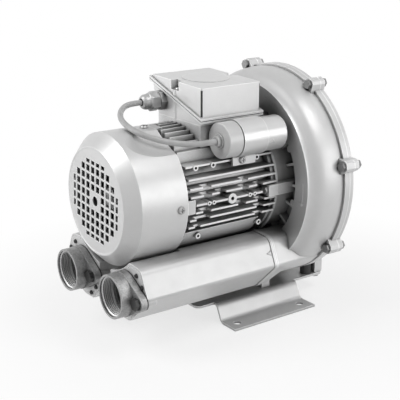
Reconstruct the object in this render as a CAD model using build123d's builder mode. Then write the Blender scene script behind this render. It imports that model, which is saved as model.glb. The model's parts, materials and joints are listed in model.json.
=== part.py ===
from build123d import *
import os
from math import atan2, cos, radians, sin, sqrt, tan

# Side channel blower with a single-phase motor, in millimetres.
# The origin lies on the floor, in the middle of the four foot holes. +Z is up.
# Y runs along the motor shaft: the fan cowl and both ports look towards -Y, the impeller is at +Y.
# +X is the side of the capacitor.

# Main positions
AXIS_H = 174.0            # motor shaft above the floor
SEAT_GAP = 0.3            # clearance of a round piece in its seat
FACE_GAP = 0.3            # clearance between faces that don't carry load
RUNNING_GAP = 0.5         # impeller to casing, each side
BORE_FIT = 0.05           # radial clearance of a turning seat

# Base bracket
SHEET = 3.0
PLATE_TOP = 24.0
FOOT_HOLE_X = 70.5
FOOT_HOLE_Y = 52.0
FOOT_HOLE_R = 5.0
FOOT_EDGE_X = 85.0
TAB_HALF_Y = 66.5
BEND_TOP_X = 46.0
BEND_LOW_X = 56.0
BEND_R = 8.0
PLATE_HALF_X = 41.0
PLATE_FRONT = -93.5
PLATE_REAR = 121.0
PLATE_CORNER_R = 8.0
MOUNT_X = 32.0
FRONT_MOUNT_Y = 20.0
REAR_MOUNT_Y = 113.5
MOUNT_LEG = 13.0
BUFFER_X = 31.0
BUFFER_Y = 97.0
BUFFER_R = 7.5
BUFFER_TOP_Z = -127.0     # underside of the rear casing half's arms, from the shaft

# Casing halves
PARTING_Y = 67.5
FLANGE_R = 138.0
FLANGE_T = 8.0
REAR_FLANGE_T = 7.0
CASING_R = 134.5
RIM_R = 121.0
RIM_Y = 13.6
BULGE = ((5.0, 2.0), (12.0, 8.2), (22.0, 12.4))   # steps from the rim along Y and outwards
RECESS_EDGE_R = 91.0
RECESS_EDGE_Y = 20.0
RECESS_FLOOR_R = 88.0
RECESS_FLOOR_Y = 33.0
RIB_COUNT = 20
RIB_T = 3.0
RIB_TOP_Y = 22.0
POST_COUNT = 8
POST_R = 4.0
POST_AT_R = 88.5
POST_TURN = 30.5

# Side channel and impeller
IMPELLER_R = 126.5
IMPELLER_W = 28.0
BLADE_COUNT = 32
BLADE_T = 2.4
BLADE_ROOT_R = 92.0
POCKET_R = 127.5
CHANNEL_R = 16.5
CHANNEL_MEAN_R = 108.5
CHANNEL_DEPTH = 1.5       # straight part of the groove before its round floor
STRIPPER_ARC = 26.0

# Casing lugs
LUG_ANGLES = (-34.5, 12.5, 59.5, 111.5, 167.5, 214.5)
LUG_OUT_R = 148.0
LUG_ROOT_R = 128.0
LUG_ROOT_W = 24.0
LUG_TIP_W = 13.5
LUG_BOLT_R = 141.2
FRONT_LUG_L = 13.5

# Drum and drive-end hub
DRUM_FRONT_Y = -0.5
DRUM_R = 74.0
DRUM_BORE_R = 69.0
DRUM_LIP_R = 78.5
DRUM_LIP_T = 3.0
TIE_TURN = -1.0
TIE_W = 14.0
TIE_OUT_R = 83.0
TIE_BOLT_R = 76.5
TIE_POCKET_L = 8.0
HUB_WALL_Y = 32.0
HUB_R = 31.0

# Rear casing half
COVER_FLOOR_T = 6.5
COVER_SHELL = 5.0
COVER_HUB_R = 22.0
COVER_HUB_L = 18.5
NUT_POCKET_R = 20.0
NUT_POCKET_L = 13.0
WEB_COUNT = 8
WEB_OUT_R = 95.0
WEB_L = (14.5, 16.5)      # reach behind the parting face at the hub and at the ring
ARM_W = 16.0
ARM_TOP = ((73.0, -84.0), (120.0, -122.0))   # upper edge of an arm, y and height from the shaft

# Ports, silencers and their section, given from the port's centre
PORT_X = 52.5
PORT_Z = -99.5
PORT_BORE_R = 16.0
SEAM_Y = -10.6
STUB_R = 137.0
DUCT = ((43.5, 3.0, 5.0), (4.0, -36.0, 16.0), (-22.0, -36.0, 10.0), (-39.0, -22.0, 8.0),
        (-39.0, 40.0, 1.0), (29.0, 36.5, 12.0))
DUCT_WALL = 3.0
DUCT_BORE_R = 22.0
BELLY_GAP_R = 80.0
COWL_GAP_R = 84.0
SILENCER_STEP_Y = -129.5
SILENCER_FRONT = -200.5
SEAM_BEAD = 1.2
SEAM_BEAD_L = 3.0
PLATE_T = 3.0
FOAM_BORE_R = 22.5
FOAM_FRONT_GAP = 16.0
THREAD_ROOT_R = 23.9      # G 1 1/2 thread, root radius
THREAD_L = 20.0
PORT_RING_R = 26.4
FLANGE_BODY_R = 27.2
PORT_FRONT = -224.6
PORT_FLANGE_T = 8.0
GASKET_T = 1.5
EAR_X = 35.5
EAR_R = 9.5
EAR_BOSS_R = 6.5
EAR_BOSS_L = 13.0
PLATE_SCREWS = ((20.0, 27.0), (31.8, 16.4), (-29.0, -19.0), (-17.0, -30.0))

# Stator frame
FRAME_FRONT = -129.0
CORE_R = 66.0
STATOR_R = 60.0
FRAME_RING_R = 75.0
FRAME_RING_T = 4.0
SPIGOT_L = 4.0
FIN_TIP_R = 80.0
FIN_ROOT_T = 3.6
FIN_TIP_T = 2.2
SIDE_FINS = (42.0, 28.5, 18.0, 8.5, -1.5, -11.0, -20.0, -29.5)
TOP_FINS = (-46.0, -37.0, -28.0, -19.0, -10.0, -1.0, 8.0, 17.0, 26.0, 35.0, 44.0)
SADDLE_X = 51.0
SADDLE_Z = 57.0
SADDLE_LOW_Z = 38.0
BELLY_R = 76.5
BELLY_Z = -37.0
BELLY_END = -18.0
NECK_X = (-41.0, 48.6)
NECK_Y = (-94.0, -25.0)
NECK_WALL = 5.0
BOSS_R = 3.4
BOSS_HOLE_R = 1.7
BOSS_HOLE_L = 7.0
UPPER_BOSSES = (-115.4, -90.3, -24.6)
UPPER_BOSS_Z = 40.5
LOWER_BOSSES = (-110.8, -18.5)
LOWER_BOSS_Z = -44.0
TWIN_BOSSES = (-103.6, -96.7, -42.8, -35.4)
HUB_BOSS_Y = -69.5
HUB_BOSS_R = 6.2
HUB_BOSS_HOLE_R = 2.4
MID_BOSS_Z = -1.5
CLAMP_PAD_Z = 41.5

# Stator, rotor and shaft
CORE_FRONT = -97.0
CORE_REAR = -22.0
STATOR_BORE_R = 35.0
AIR_GAP = 0.5
WINDING_IN_R = 40.0
WINDING_OUT_R = 56.0
WINDING_L = 21.0
SHAFT_R = 13.0
BEARING_SEAT_R = 10.0
FAN_SEAT_R = 9.0
IMPELLER_SEAT_R = 9.5
SHAFT_FRONT = -193.0
STUD_R = 6.0
STUD_END = 79.0
END_RING_R = 33.0
END_RING_L = 9.0

# Bearings, both 20 x 47 x 14
BEARING_R = 23.5
BEARING_W = 14.0
RACE_OUT_R = 19.6
RACE_IN_R = 13.9
BALL_R = 3.97
BALL_COUNT = 8
DRIVE_BEARING_Y = 10.0
REAR_BEARING_Y = -146.0
SEAL_R = 16.0
SEAL_W = 7.0
SEAL_Y = 27.0

# Rear end shield, fan and cowl
SHIELD_REAR = -129.0
SHIELD_T = 8.0
SHIELD_R = 66.0
COWL_R = 80.2
COWL_T = 1.4
COWL_REAR = -133.4
COWL_SHOULDER = -195.65
COWL_FRONT = -211.3
COWL_RING_R = 66.0
COWL_FACE_IN = 0.3
COWL_LUG_W = 17.0
COWL_LUG_R = 79.5
COWL_LUG_REAR = -122.7
COWL_LUG_FRONT = -151.0
COWL_SCREW_Y = -143.5
COWL_SCREW_TURN = -2.0
GRILLE_PITCH_X = 11.3
GRILLE_PITCH_Z = 10.5
GRILLE_HOLE = 8.0
GRILLE_EDGE_HOLE = 5.0
GRILLE_TURN = -4.0        # the grille stands a little askew
GRILLE_EYE_R = 6.0
DISH_R = 150.0
DISH_DEPTH = 5.0
DISH_TURN = 62.0
DISH_Y = -150.0
FAN_FRONT = -188.0
FAN_REAR = -153.0
FAN_R = 68.0
FAN_HUB_R = 15.0
FAN_BLADES = 8
FAN_BLADE_T = 2.2

# Terminal box, heights from the shaft
BOX_X = (-54.0, 51.0)
BOX_Y = (-94.0, -6.0)
BOX_FLOOR_Z = 84.0
BOX_WALL = 3.0
BOX_FLOOR_LEFT_X = -40.0
LID_TOP_LEFT_Z = 131.8
LID_TOP_RIGHT_Z = 128.3
LIP_OUT = 3.0
LIP_T = 2.4
PARTING_LEFT_Z = 126.0
PARTING_RIGHT_Z = 90.3
LID_GASKET_T = 1.0
LID_DISC_R = 29.0
LID_DISC_RISE = 0.6
POCKET_X = (-12.0, 4.0)
POCKET_DEPTH = 9.0
POCKET_FLOOR_Z = 119.0
TOWER_R = 5.5

# Cable gland on the terminal box
GLAND_X = -32.0
GLAND_Z = 102.8
GLAND_AF = 22.0
GLAND_BODY_L = 8.0
GLAND_NUT_L = 14.0
GLAND_DOME_L = 15.0
SEAL_PLUG_R = 6.0
SEAL_PLUG_L = 16.0
NUB_L = 4.0
NUB_STEP = 1.2

# Capacitor, its clamp and cable
CAP_X = 72.0
CAP_Z = 69.0
CAP_R = 21.0
CAP_FRONT = -83.5
CAP_END = 4.5
END_CAP_L = 19.4
CLAMP_Y = (-63.0, -27.0)
CLAMP_T = 1.5
CLAMP_LOW_Z = 35.5
CLAMP_X = 69.4
CLAMP_SCREW_Y = -49.8
CABLE_R = 3.5
BEND_SHARE = 0.45
CABLE_START = 2.5         # how far the cable reaches into the gland's nut
CABLE_BENDS = ((-32.0, -141.0, 276.8), (-29.0, -152.0, 274.4), (-24.0, -160.0, 269.0),
               (-14.0, -164.5, 263.0), (4.0, -166.8, 258.6), (26.0, -167.5, 255.6),
               (40.0, -156.0, 249.8), (50.0, -134.6, 243.2), (60.0, -111.0, 240.0),
               (72.0, -98.2, 243.0))

# Fasteners: radii of shank and head
M3_R = 1.5
M4_R = 2.0
M5_R = 2.5
M6_R = 3.0
M8_R = 4.0
CLEAR = 0.3

# Worked out from the values above
SHAFT_AXIS = Axis((0, 0, AXIS_H), (0, 1, 0))
REAR_FACE = PARTING_Y
IMPELLER_REAR = REAR_FACE - RUNNING_GAP
IMPELLER_MID = IMPELLER_REAR - IMPELLER_W / 2
IMPELLER_FRONT = IMPELLER_REAR - IMPELLER_W
FRONT_FACE = IMPELLER_FRONT - RUNNING_GAP
PORT_FLANGE_REAR = SILENCER_FRONT - GASKET_T
PORT_FLANGE_FRONT = PORT_FLANGE_REAR - PORT_FLANGE_T
PARTING_SLOPE = (PARTING_RIGHT_Z - PARTING_LEFT_Z) / (BOX_X[1] - BOX_X[0])
BALL_PITCH_R = (RACE_OUT_R + RACE_IN_R) / 2
GLAND_TIP = BOX_Y[0] - GLAND_BODY_L - GLAND_NUT_L - GLAND_DOME_L


def section(y, x=0.0, z=0.0):
    """Plane across the shaft at y, seen from the fan cowl; z counts from the shaft."""
    return Plane(origin=(x, y, AXIS_H + z), x_dir=(1, 0, 0), z_dir=(0, -1, 0))


def sideways(x, y, z):
    """Plane that looks towards +X, with z counted from the shaft."""
    return Plane(origin=(x, y, AXIS_H + z), x_dir=(0, 1, 0), z_dir=(1, 0, 0))


def radial(turn):
    """Half plane through the shaft: local x runs along the shaft, local y outwards at the angle."""
    way = radians(turn)
    return Plane(origin=(0, 0, AXIS_H), x_dir=(0, 1, 0), z_dir=(sin(way), 0, -cos(way)))


def outward(turn, y, radius):
    """Plane whose normal points away from the shaft at the given angle."""
    way = radians(turn)
    origin = (radius * cos(way), y, AXIS_H + radius * sin(way))
    return Plane(origin=origin, x_dir=(0, 1, 0), z_dir=(cos(way), 0, sin(way)))


def lathe(points, mode=Mode.ADD, arc=360.0, turn=90.0):
    """Turn a closed outline of (y, radius) points about the shaft."""
    with BuildSketch(radial(turn)) as outline:
        with BuildLine():
            Polyline(*points, close=True)
        make_face()
    revolve(outline.sketch, axis=SHAFT_AXIS, revolution_arc=arc, mode=mode)


def rod(plane, radius, length, mode=Mode.ADD):
    """Cylinder that rises from a plane."""
    with BuildSketch(plane) as disc:
        Circle(radius)
    extrude(disc.sketch, amount=length, mode=mode)


def tube(plane, outer, inner, length, mode=Mode.ADD):
    """Hollow cylinder that rises from a plane."""
    with BuildSketch(plane) as ring:
        Circle(outer)
        Circle(inner, mode=Mode.SUBTRACT)
    extrude(ring.sketch, amount=length, mode=mode)


def block(x, y, z, mode=Mode.ADD):
    """Box between two limits in each direction; z counts from the shaft."""
    with BuildSketch(Plane(origin=(0, 0, AXIS_H + z[0]), x_dir=(1, 0, 0), z_dir=(0, 0, 1))) as base:
        with Locations(((x[0] + x[1]) / 2, (y[0] + y[1]) / 2)):
            Rectangle(x[1] - x[0], y[1] - y[0])
    extrude(base.sketch, amount=z[1] - z[0], mode=mode)


def hexagon(plane, across, length, mode=Mode.ADD):
    """Hexagonal prism with the given width across its flats."""
    with BuildSketch(plane) as outline:
        RegularPolygon(across / 2, 6, major_radius=False)
    extrude(outline.sketch, amount=length, mode=mode)


def pan_screw(plane, shank_r, head_r, head_h, length):
    """Cross-recess screw: the plane lies under its head and looks towards the head."""
    rod(plane, head_r, head_h * 0.45)
    with BuildSketch(plane.offset(head_h * 0.45)) as rim:
        Circle(head_r)
    extrude(rim.sketch, amount=head_h * 0.55, taper=30)
    rod(plane, shank_r, -length)
    for across in ((head_r * 1.1, head_r * 0.24), (head_r * 0.24, head_r * 1.1)):
        with BuildSketch(plane.offset(head_h)) as cross:
            Rectangle(*across)
        extrude(cross.sketch, amount=-head_h * 0.5, mode=Mode.SUBTRACT)


def hex_bolt(plane, shank_r, across, head_h, length):
    """Hexagon bolt: the plane lies under its head and looks towards the head."""
    hexagon(plane, across, head_h)
    rod(plane, shank_r, -length)


def save(piece, name):
    """Label a finished piece and write its file."""
    piece.part.label = name
    export_step(piece.part, f"parts/{name}.step")


def bracket_mounts():
    """Places of the screws that hold the blower on its bracket."""
    return [(side * MOUNT_X, y) for side in (-1, 1) for y in (FRONT_MOUNT_Y, REAR_MOUNT_Y)]


def make_base_bracket():
    """Bent sheet: a flat plate under the blower and an S-bent foot on each side."""
    top = PLATE_TOP - SHEET / 2
    low = SHEET / 2
    floor = Plane(origin=(0, TAB_HALF_Y, 0), x_dir=(1, 0, 0), z_dir=(0, -1, 0))
    with BuildPart() as base_bracket:
        with BuildSketch(floor):
            with BuildLine():
                FilletPolyline((-FOOT_EDGE_X, low), (-BEND_LOW_X, low), (-BEND_TOP_X, top),
                               (BEND_TOP_X, top), (BEND_LOW_X, low), (FOOT_EDGE_X, low), radius=BEND_R)
            trace(line_width=SHEET)
        extrude(amount=2 * TAB_HALF_Y)
        with BuildSketch(Plane.XY.offset(PLATE_TOP - SHEET)):
            with Locations((0, (PLATE_FRONT + PLATE_REAR) / 2)):
                RectangleRounded(2 * PLATE_HALF_X, PLATE_REAR - PLATE_FRONT, PLATE_CORNER_R)
        extrude(amount=SHEET)
        with BuildSketch(Plane.XY):
            with GridLocations(2 * FOOT_HOLE_X, 2 * FOOT_HOLE_Y, 2, 2):
                Circle(FOOT_HOLE_R)
        extrude(amount=PLATE_TOP / 2, mode=Mode.SUBTRACT)
        with BuildSketch(Plane.XY.offset(PLATE_TOP - 2 * SHEET)):
            with Locations(*bracket_mounts()):
                Circle(M6_R + CLEAR)
        extrude(amount=3 * SHEET, mode=Mode.SUBTRACT)
    save(base_bracket, "base_bracket")


def make_bracket_screws():
    """Four hexagon screws from below, through the plate into the casing's legs."""
    with BuildPart() as bracket_screws:
        for x, y in bracket_mounts():
            under = Plane(origin=(x, y, PLATE_TOP - SHEET), x_dir=(1, 0, 0), z_dir=(0, 0, -1))
            hex_bolt(under, M6_R, 10.0, 4.0, SHEET + 9.0)
    save(bracket_screws, "bracket_screws")


def make_rubber_buffers():
    """Two rubber blocks between the plate and the arms of the rear casing half."""
    with BuildPart() as rubber_buffers:
        for side in (-1, 1):
            rod(Plane(origin=(side * BUFFER_X, BUFFER_Y, PLATE_TOP), x_dir=(1, 0, 0), z_dir=(0, 0, 1)),
                BUFFER_R, AXIS_H + BUFFER_TOP_Z - PLATE_TOP)
    save(rubber_buffers, "rubber_buffers")


def front_outline():
    """Outline of the front casing half from its parting face round to its hub, as (y, radius)."""
    rim = [(RIM_Y, RIM_R)] + [(RIM_Y + y, RIM_R + rise) for y, rise in BULGE]
    flange_front = PARTING_Y - FLANGE_T
    Spline(*rim, (flange_front, CASING_R))
    bearing_rear = DRIVE_BEARING_Y + BEARING_W
    Polyline(
        (flange_front, CASING_R), (flange_front, FLANGE_R), (PARTING_Y, FLANGE_R),
        (PARTING_Y, SEAL_R - 4), (SEAL_Y + SEAL_W, SEAL_R - 4), (SEAL_Y + SEAL_W, SEAL_R + SEAT_GAP),
        (SEAL_Y, SEAL_R + SEAT_GAP), (SEAL_Y, BEARING_R - 4), (bearing_rear, BEARING_R - 4),
        (bearing_rear, BEARING_R), (DRIVE_BEARING_Y - 2, BEARING_R), (DRIVE_BEARING_Y - 2, HUB_R),
        (HUB_WALL_Y, HUB_R), (HUB_WALL_Y, DRUM_BORE_R), (DRUM_FRONT_Y, DRUM_BORE_R),
        (DRUM_FRONT_Y, DRUM_LIP_R), (DRUM_FRONT_Y + DRUM_LIP_T, DRUM_LIP_R),
        (DRUM_FRONT_Y + DRUM_LIP_T, DRUM_R), (RECESS_FLOOR_Y, DRUM_R),
        (RECESS_FLOOR_Y, RECESS_FLOOR_R), (RECESS_EDGE_Y, RECESS_EDGE_R), (RIM_Y, RIM_R))


def duct_sketch(y, side, inset=0.0, gap_r=BELLY_GAP_R):
    """Section of a silencer at y: a rounded hexagon, hollowed where it passes the motor."""
    points = [(side * (PORT_X + x), PORT_Z + z) for x, z, _ in DUCT]
    with BuildSketch(section(y)) as outline:
        with BuildLine():
            FilletPolyline(*points, radius=[r for _, _, r in DUCT], close=True)
        make_face()
        if inset:
            offset(amount=-inset)
        Circle(gap_r + inset, mode=Mode.SUBTRACT)
    return outline.sketch


def groove(straight, floor, turn):
    """Cut one half of the side channel, but for the arc of the stripper between the ports."""
    low = CHANNEL_MEAN_R - CHANNEL_R
    high = CHANNEL_MEAN_R + CHANNEL_R
    with BuildSketch(radial(turn)) as outline:
        with BuildLine():
            Polyline((floor, high), (straight, high), (straight, low), (floor, low))
            deep = floor + (CHANNEL_R if floor > straight else -CHANNEL_R)
            ThreePointArc((floor, low), (deep, CHANNEL_MEAN_R), (floor, high))
        make_face()
    revolve(outline.sketch, axis=SHAFT_AXIS, revolution_arc=360 - STRIPPER_ARC, mode=Mode.SUBTRACT)


def lugs(front, rear):
    """Bolt lugs round the parting flange, with their holes."""
    half_root = LUG_ROOT_W / 2
    half_tip = LUG_TIP_W / 2
    with BuildSketch(section(rear)) as outline:
        for turn in LUG_ANGLES:
            with PolarLocations(0, 1, start_angle=turn):
                Polygon((LUG_ROOT_R, -half_root), (LUG_OUT_R - 3, -half_tip), (LUG_OUT_R, -half_tip + 3),
                        (LUG_OUT_R, half_tip - 3), (LUG_OUT_R - 3, half_tip), (LUG_ROOT_R, half_root),
                        align=None)
    extrude(outline.sketch, amount=rear - front)
    for turn in LUG_ANGLES:
        rod(lug_plane(turn, rear + 1), M6_R + CLEAR, rear - front + 2, mode=Mode.SUBTRACT)


def lug_plane(turn, y):
    """Plane across a lug's bolt hole at y."""
    return section(y, LUG_BOLT_R * cos(radians(turn)), LUG_BOLT_R * sin(radians(turn)))


def tie_bars(front, rear, low_r, hole_r):
    """Four square bars along the drum or the frame, bored for the tie screws."""
    with BuildSketch(section(rear)) as outline:
        with PolarLocations((low_r + TIE_OUT_R) / 2, 4, start_angle=TIE_TURN):
            Rectangle(TIE_OUT_R - low_r, TIE_W)
    extrude(outline.sketch, amount=rear - front)
    for quarter in range(4):
        turn = TIE_TURN + 90 * quarter
        place = section(rear, TIE_BOLT_R * cos(radians(turn)), TIE_BOLT_R * sin(radians(turn)))
        rod(place, hole_r, rear - front, mode=Mode.SUBTRACT)


def port_stub(side):
    """Cast duct between a silencer's seam and the channel, blended into the round casing."""
    with BuildPart(mode=Mode.PRIVATE) as stub:
        extrude(duct_sketch(PARTING_Y, side), amount=PARTING_Y - SEAM_Y)
        extrude(duct_sketch(SEAM_Y + SEAM_BEAD_L, side, inset=-SEAM_BEAD), amount=SEAM_BEAD_L)
        lathe(((SEAM_Y + 6, STUB_R + 14), (SEAM_Y + 22, STUB_R), (PARTING_Y + 1, STUB_R),
               (PARTING_Y + 1, STUB_R + 40), (SEAM_Y + 6, STUB_R + 40)), mode=Mode.SUBTRACT)
    return stub.part


def make_casing_front():
    """Front casing half: side channel, recess with ribs, motor drum, port stubs, lugs and legs."""
    with BuildPart() as casing_front:
        with BuildSketch(radial(90)):
            with BuildLine():
                front_outline()
            make_face()
        revolve(axis=SHAFT_AXIS)
        for side in (-1, 1):
            add(port_stub(side))
        with BuildSketch(section(RECESS_FLOOR_Y + 1)) as ribs:
            with PolarLocations((DRUM_R + RECESS_EDGE_R) / 2, RIB_COUNT):
                Rectangle(RECESS_EDGE_R - DRUM_R + 2, RIB_T)
        extrude(ribs.sketch, amount=RECESS_FLOOR_Y + 1 - RIB_TOP_Y)
        for number in range(POST_COUNT):
            turn = radians(POST_TURN + 360 / POST_COUNT * number)
            rod(section(RECESS_FLOOR_Y + 1, POST_AT_R * cos(turn), POST_AT_R * sin(turn)), POST_R,
                RECESS_FLOOR_Y - RECESS_EDGE_Y)
        lugs(PARTING_Y - FRONT_LUG_L, PARTING_Y)
        tie_bars(DRUM_FRONT_Y, RECESS_FLOOR_Y + 1, DRUM_BORE_R + 1, M5_R)
        for side in (-1, 1):
            legs(side, FRONT_MOUNT_Y, -FLANGE_R + 12)
        lathe(((FRONT_FACE, 0), (FRONT_FACE, POCKET_R), (PARTING_Y + 1, POCKET_R), (PARTING_Y + 1, 0)),
              mode=Mode.SUBTRACT)
        groove(FRONT_FACE, FRONT_FACE - CHANNEL_DEPTH, -90 - STRIPPER_ARC / 2)
        for side in (-1, 1):
            rod(section(FRONT_FACE - CHANNEL_DEPTH, side * PORT_X, PORT_Z), PORT_BORE_R,
                FRONT_FACE - CHANNEL_DEPTH - SEAM_Y + 1, mode=Mode.SUBTRACT)
            rod(section(RIM_Y - 4, side * PORT_X, PORT_Z), DUCT_BORE_R, RIM_Y - SEAM_Y,
                mode=Mode.SUBTRACT)
    save(casing_front, "casing_front")


def legs(side, y, top_z):
    """Cast leg from the bracket's plate up into the casing, with its screw hole."""
    half = MOUNT_LEG / 2
    x = side * MOUNT_X
    floor = PLATE_TOP - AXIS_H
    block((x - half, x + half), (y - half, y + half), (floor, top_z))
    rod(Plane(origin=(x, y, PLATE_TOP - 1), x_dir=(1, 0, 0), z_dir=(0, 0, 1)), M6_R, 11.0,
        mode=Mode.SUBTRACT)


def cover_outline():
    """Outline of the rear casing half: its ring over the channel, flange and hub, as (y, radius)."""
    flange_rear = PARTING_Y + REAR_FLANGE_T
    dish = PARTING_Y + COVER_FLOOR_T
    hub_rear = PARTING_Y + COVER_HUB_L
    middle = REAR_FACE + CHANNEL_DEPTH
    shell_r = CHANNEL_R + COVER_SHELL
    low = CHANNEL_MEAN_R - sqrt(shell_r ** 2 - (dish - middle) ** 2)
    high = CHANNEL_MEAN_R + sqrt(shell_r ** 2 - (flange_rear - middle) ** 2)
    ThreePointArc((dish, low), (middle + shell_r, CHANNEL_MEAN_R), (flange_rear, high))
    Polyline((flange_rear, high), (flange_rear, FLANGE_R - 1.5), (flange_rear - 1.5, FLANGE_R),
             (PARTING_Y, FLANGE_R), (PARTING_Y, 0), (hub_rear, 0), (hub_rear, COVER_HUB_R),
             (hub_rear - 2, COVER_HUB_R + 2), (dish, COVER_HUB_R + 4), (dish, low))


def cover_arm(side):
    """Arm from the rear casing half down to the plate, over the rubber buffer, with its screw hole."""
    half = MOUNT_LEG / 2
    floor = PLATE_TOP - AXIS_H
    (top_y, top_z), (end_y, end_z) = ARM_TOP
    with BuildSketch(sideways(side * BUFFER_X - ARM_W / 2, 0, 0)) as outline:
        Polygon((top_y, top_z), (end_y, end_z), (REAR_MOUNT_Y + half, floor), (REAR_MOUNT_Y - half, floor),
                (REAR_MOUNT_Y - half, BUFFER_TOP_Z), (top_y, BUFFER_TOP_Z), align=None)
    extrude(outline.sketch, amount=ARM_W)
    rod(Plane(origin=(side * MOUNT_X, REAR_MOUNT_Y, PLATE_TOP - 1), x_dir=(1, 0, 0), z_dir=(0, 0, 1)),
        M6_R, 11.0, mode=Mode.SUBTRACT)


def make_casing_cover():
    """Rear casing half: shallow ring over the channel, ribbed dished middle and two arms."""
    dish = PARTING_Y + COVER_FLOOR_T
    with BuildPart() as casing_cover:
        with BuildSketch(radial(90)):
            with BuildLine():
                cover_outline()
            make_face()
        revolve(axis=SHAFT_AXIS)
        for number in range(WEB_COUNT):
            with BuildSketch(radial(360 / WEB_COUNT * (number + 0.5))) as web:
                Polygon((dish - 1, COVER_HUB_R), (PARTING_Y + WEB_L[0], COVER_HUB_R),
                        (PARTING_Y + WEB_L[1], WEB_OUT_R), (dish - 1, WEB_OUT_R), align=None)
            extrude(web.sketch, amount=RIB_T / 2, both=True)
        lugs(PARTING_Y, PARTING_Y + REAR_FLANGE_T)
        for side in (-1, 1):
            cover_arm(side)
        rod(section(PARTING_Y + NUT_POCKET_L), NUT_POCKET_R, NUT_POCKET_L + 1, mode=Mode.SUBTRACT)
        groove(REAR_FACE, REAR_FACE + CHANNEL_DEPTH, -90 - STRIPPER_ARC / 2)
    save(casing_cover, "casing_cover")


def make_casing_fasteners():
    """Bolts and nuts through the lugs."""
    front = PARTING_Y - FRONT_LUG_L
    rear = PARTING_Y + REAR_FLANGE_T
    with BuildPart() as casing_bolts:
        for turn in LUG_ANGLES:
            hex_bolt(lug_plane(turn, front), M6_R, 10.0, 4.0, rear - front + 7.0)
    save(casing_bolts, "casing_bolts")
    with BuildPart() as casing_nuts:
        for turn in LUG_ANGLES:
            hexagon(lug_plane(turn, rear + 5.0), 10.0, 5.0)
            rod(lug_plane(turn, rear + 6.0), M6_R, 7.0, mode=Mode.SUBTRACT)
    save(casing_nuts, "casing_nuts")


def frame_section():
    """Section of the finned stator frame across the shaft."""
    Circle(CORE_R)
    with Locations((0, (SADDLE_LOW_Z + SADDLE_Z) / 2)):
        Rectangle(2 * SADDLE_X, SADDLE_Z - SADDLE_LOW_Z)
    half_root = FIN_ROOT_T / 2
    half_tip = FIN_TIP_T / 2
    for z in SIDE_FINS:
        tip = sqrt(FIN_TIP_R ** 2 - z ** 2)
        for side in (-1, 1):
            root = side * sqrt(STATOR_R ** 2 - z ** 2)
            Polygon((root, z - half_root), (side * tip, z - half_tip), (side * tip, z + half_tip),
                    (root, z + half_root), align=None)
    for x in TOP_FINS:
        tip = sqrt(FIN_TIP_R ** 2 - x ** 2)
        root = SADDLE_Z - 5.0
        Polygon((x - half_root, root), (x + half_root, root), (x + half_tip, tip), (x - half_tip, tip),
                align=None)
    Circle(STATOR_R + SEAT_GAP, mode=Mode.SUBTRACT)


def boss_row(places, z, start, radius, length, mode=Mode.ADD):
    """Row of round bosses or holes across the shaft, on both sides; a negative length runs inwards."""
    for side in (-1, 1):
        plane = Plane(origin=(side * start, 0, AXIS_H + z), x_dir=(0, 1, 0), z_dir=(side, 0, 0))
        with BuildSketch(plane) as row:
            with Locations(*[(y, 0) for y in places]):
                Circle(radius)
        extrude(row.sketch, amount=length, mode=mode)


def frame_bosses():
    """Rows of the frame's bosses: places along the shaft, height, radius, hole and reach."""
    reach = FIN_TIP_R + 0.8
    rows = ((UPPER_BOSSES, UPPER_BOSS_Z, BOSS_R, BOSS_HOLE_R),
            (LOWER_BOSSES, LOWER_BOSS_Z, BOSS_R, BOSS_HOLE_R),
            (TWIN_BOSSES, MID_BOSS_Z, BOSS_R - 0.8, BOSS_HOLE_R - 0.5),
            ((HUB_BOSS_Y,), MID_BOSS_Z, HUB_BOSS_R, HUB_BOSS_HOLE_R))
    return [(*row, sqrt(reach ** 2 - row[1] ** 2)) for row in rows]


def fin_gaps():
    """Openings in the side fins: first and last y, lowest and highest z."""
    return ((-111, -99, 3.5, 22), (-88, -78, 3.5, 13), (-54, -44, 3.5, 22), (-31, -22, 3.5, 13),
            (-112, -100, -24, -6), (-60, -48, -15, -6), (-30, -19, -34, -6), (-120, -112, -34, -14))


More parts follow.
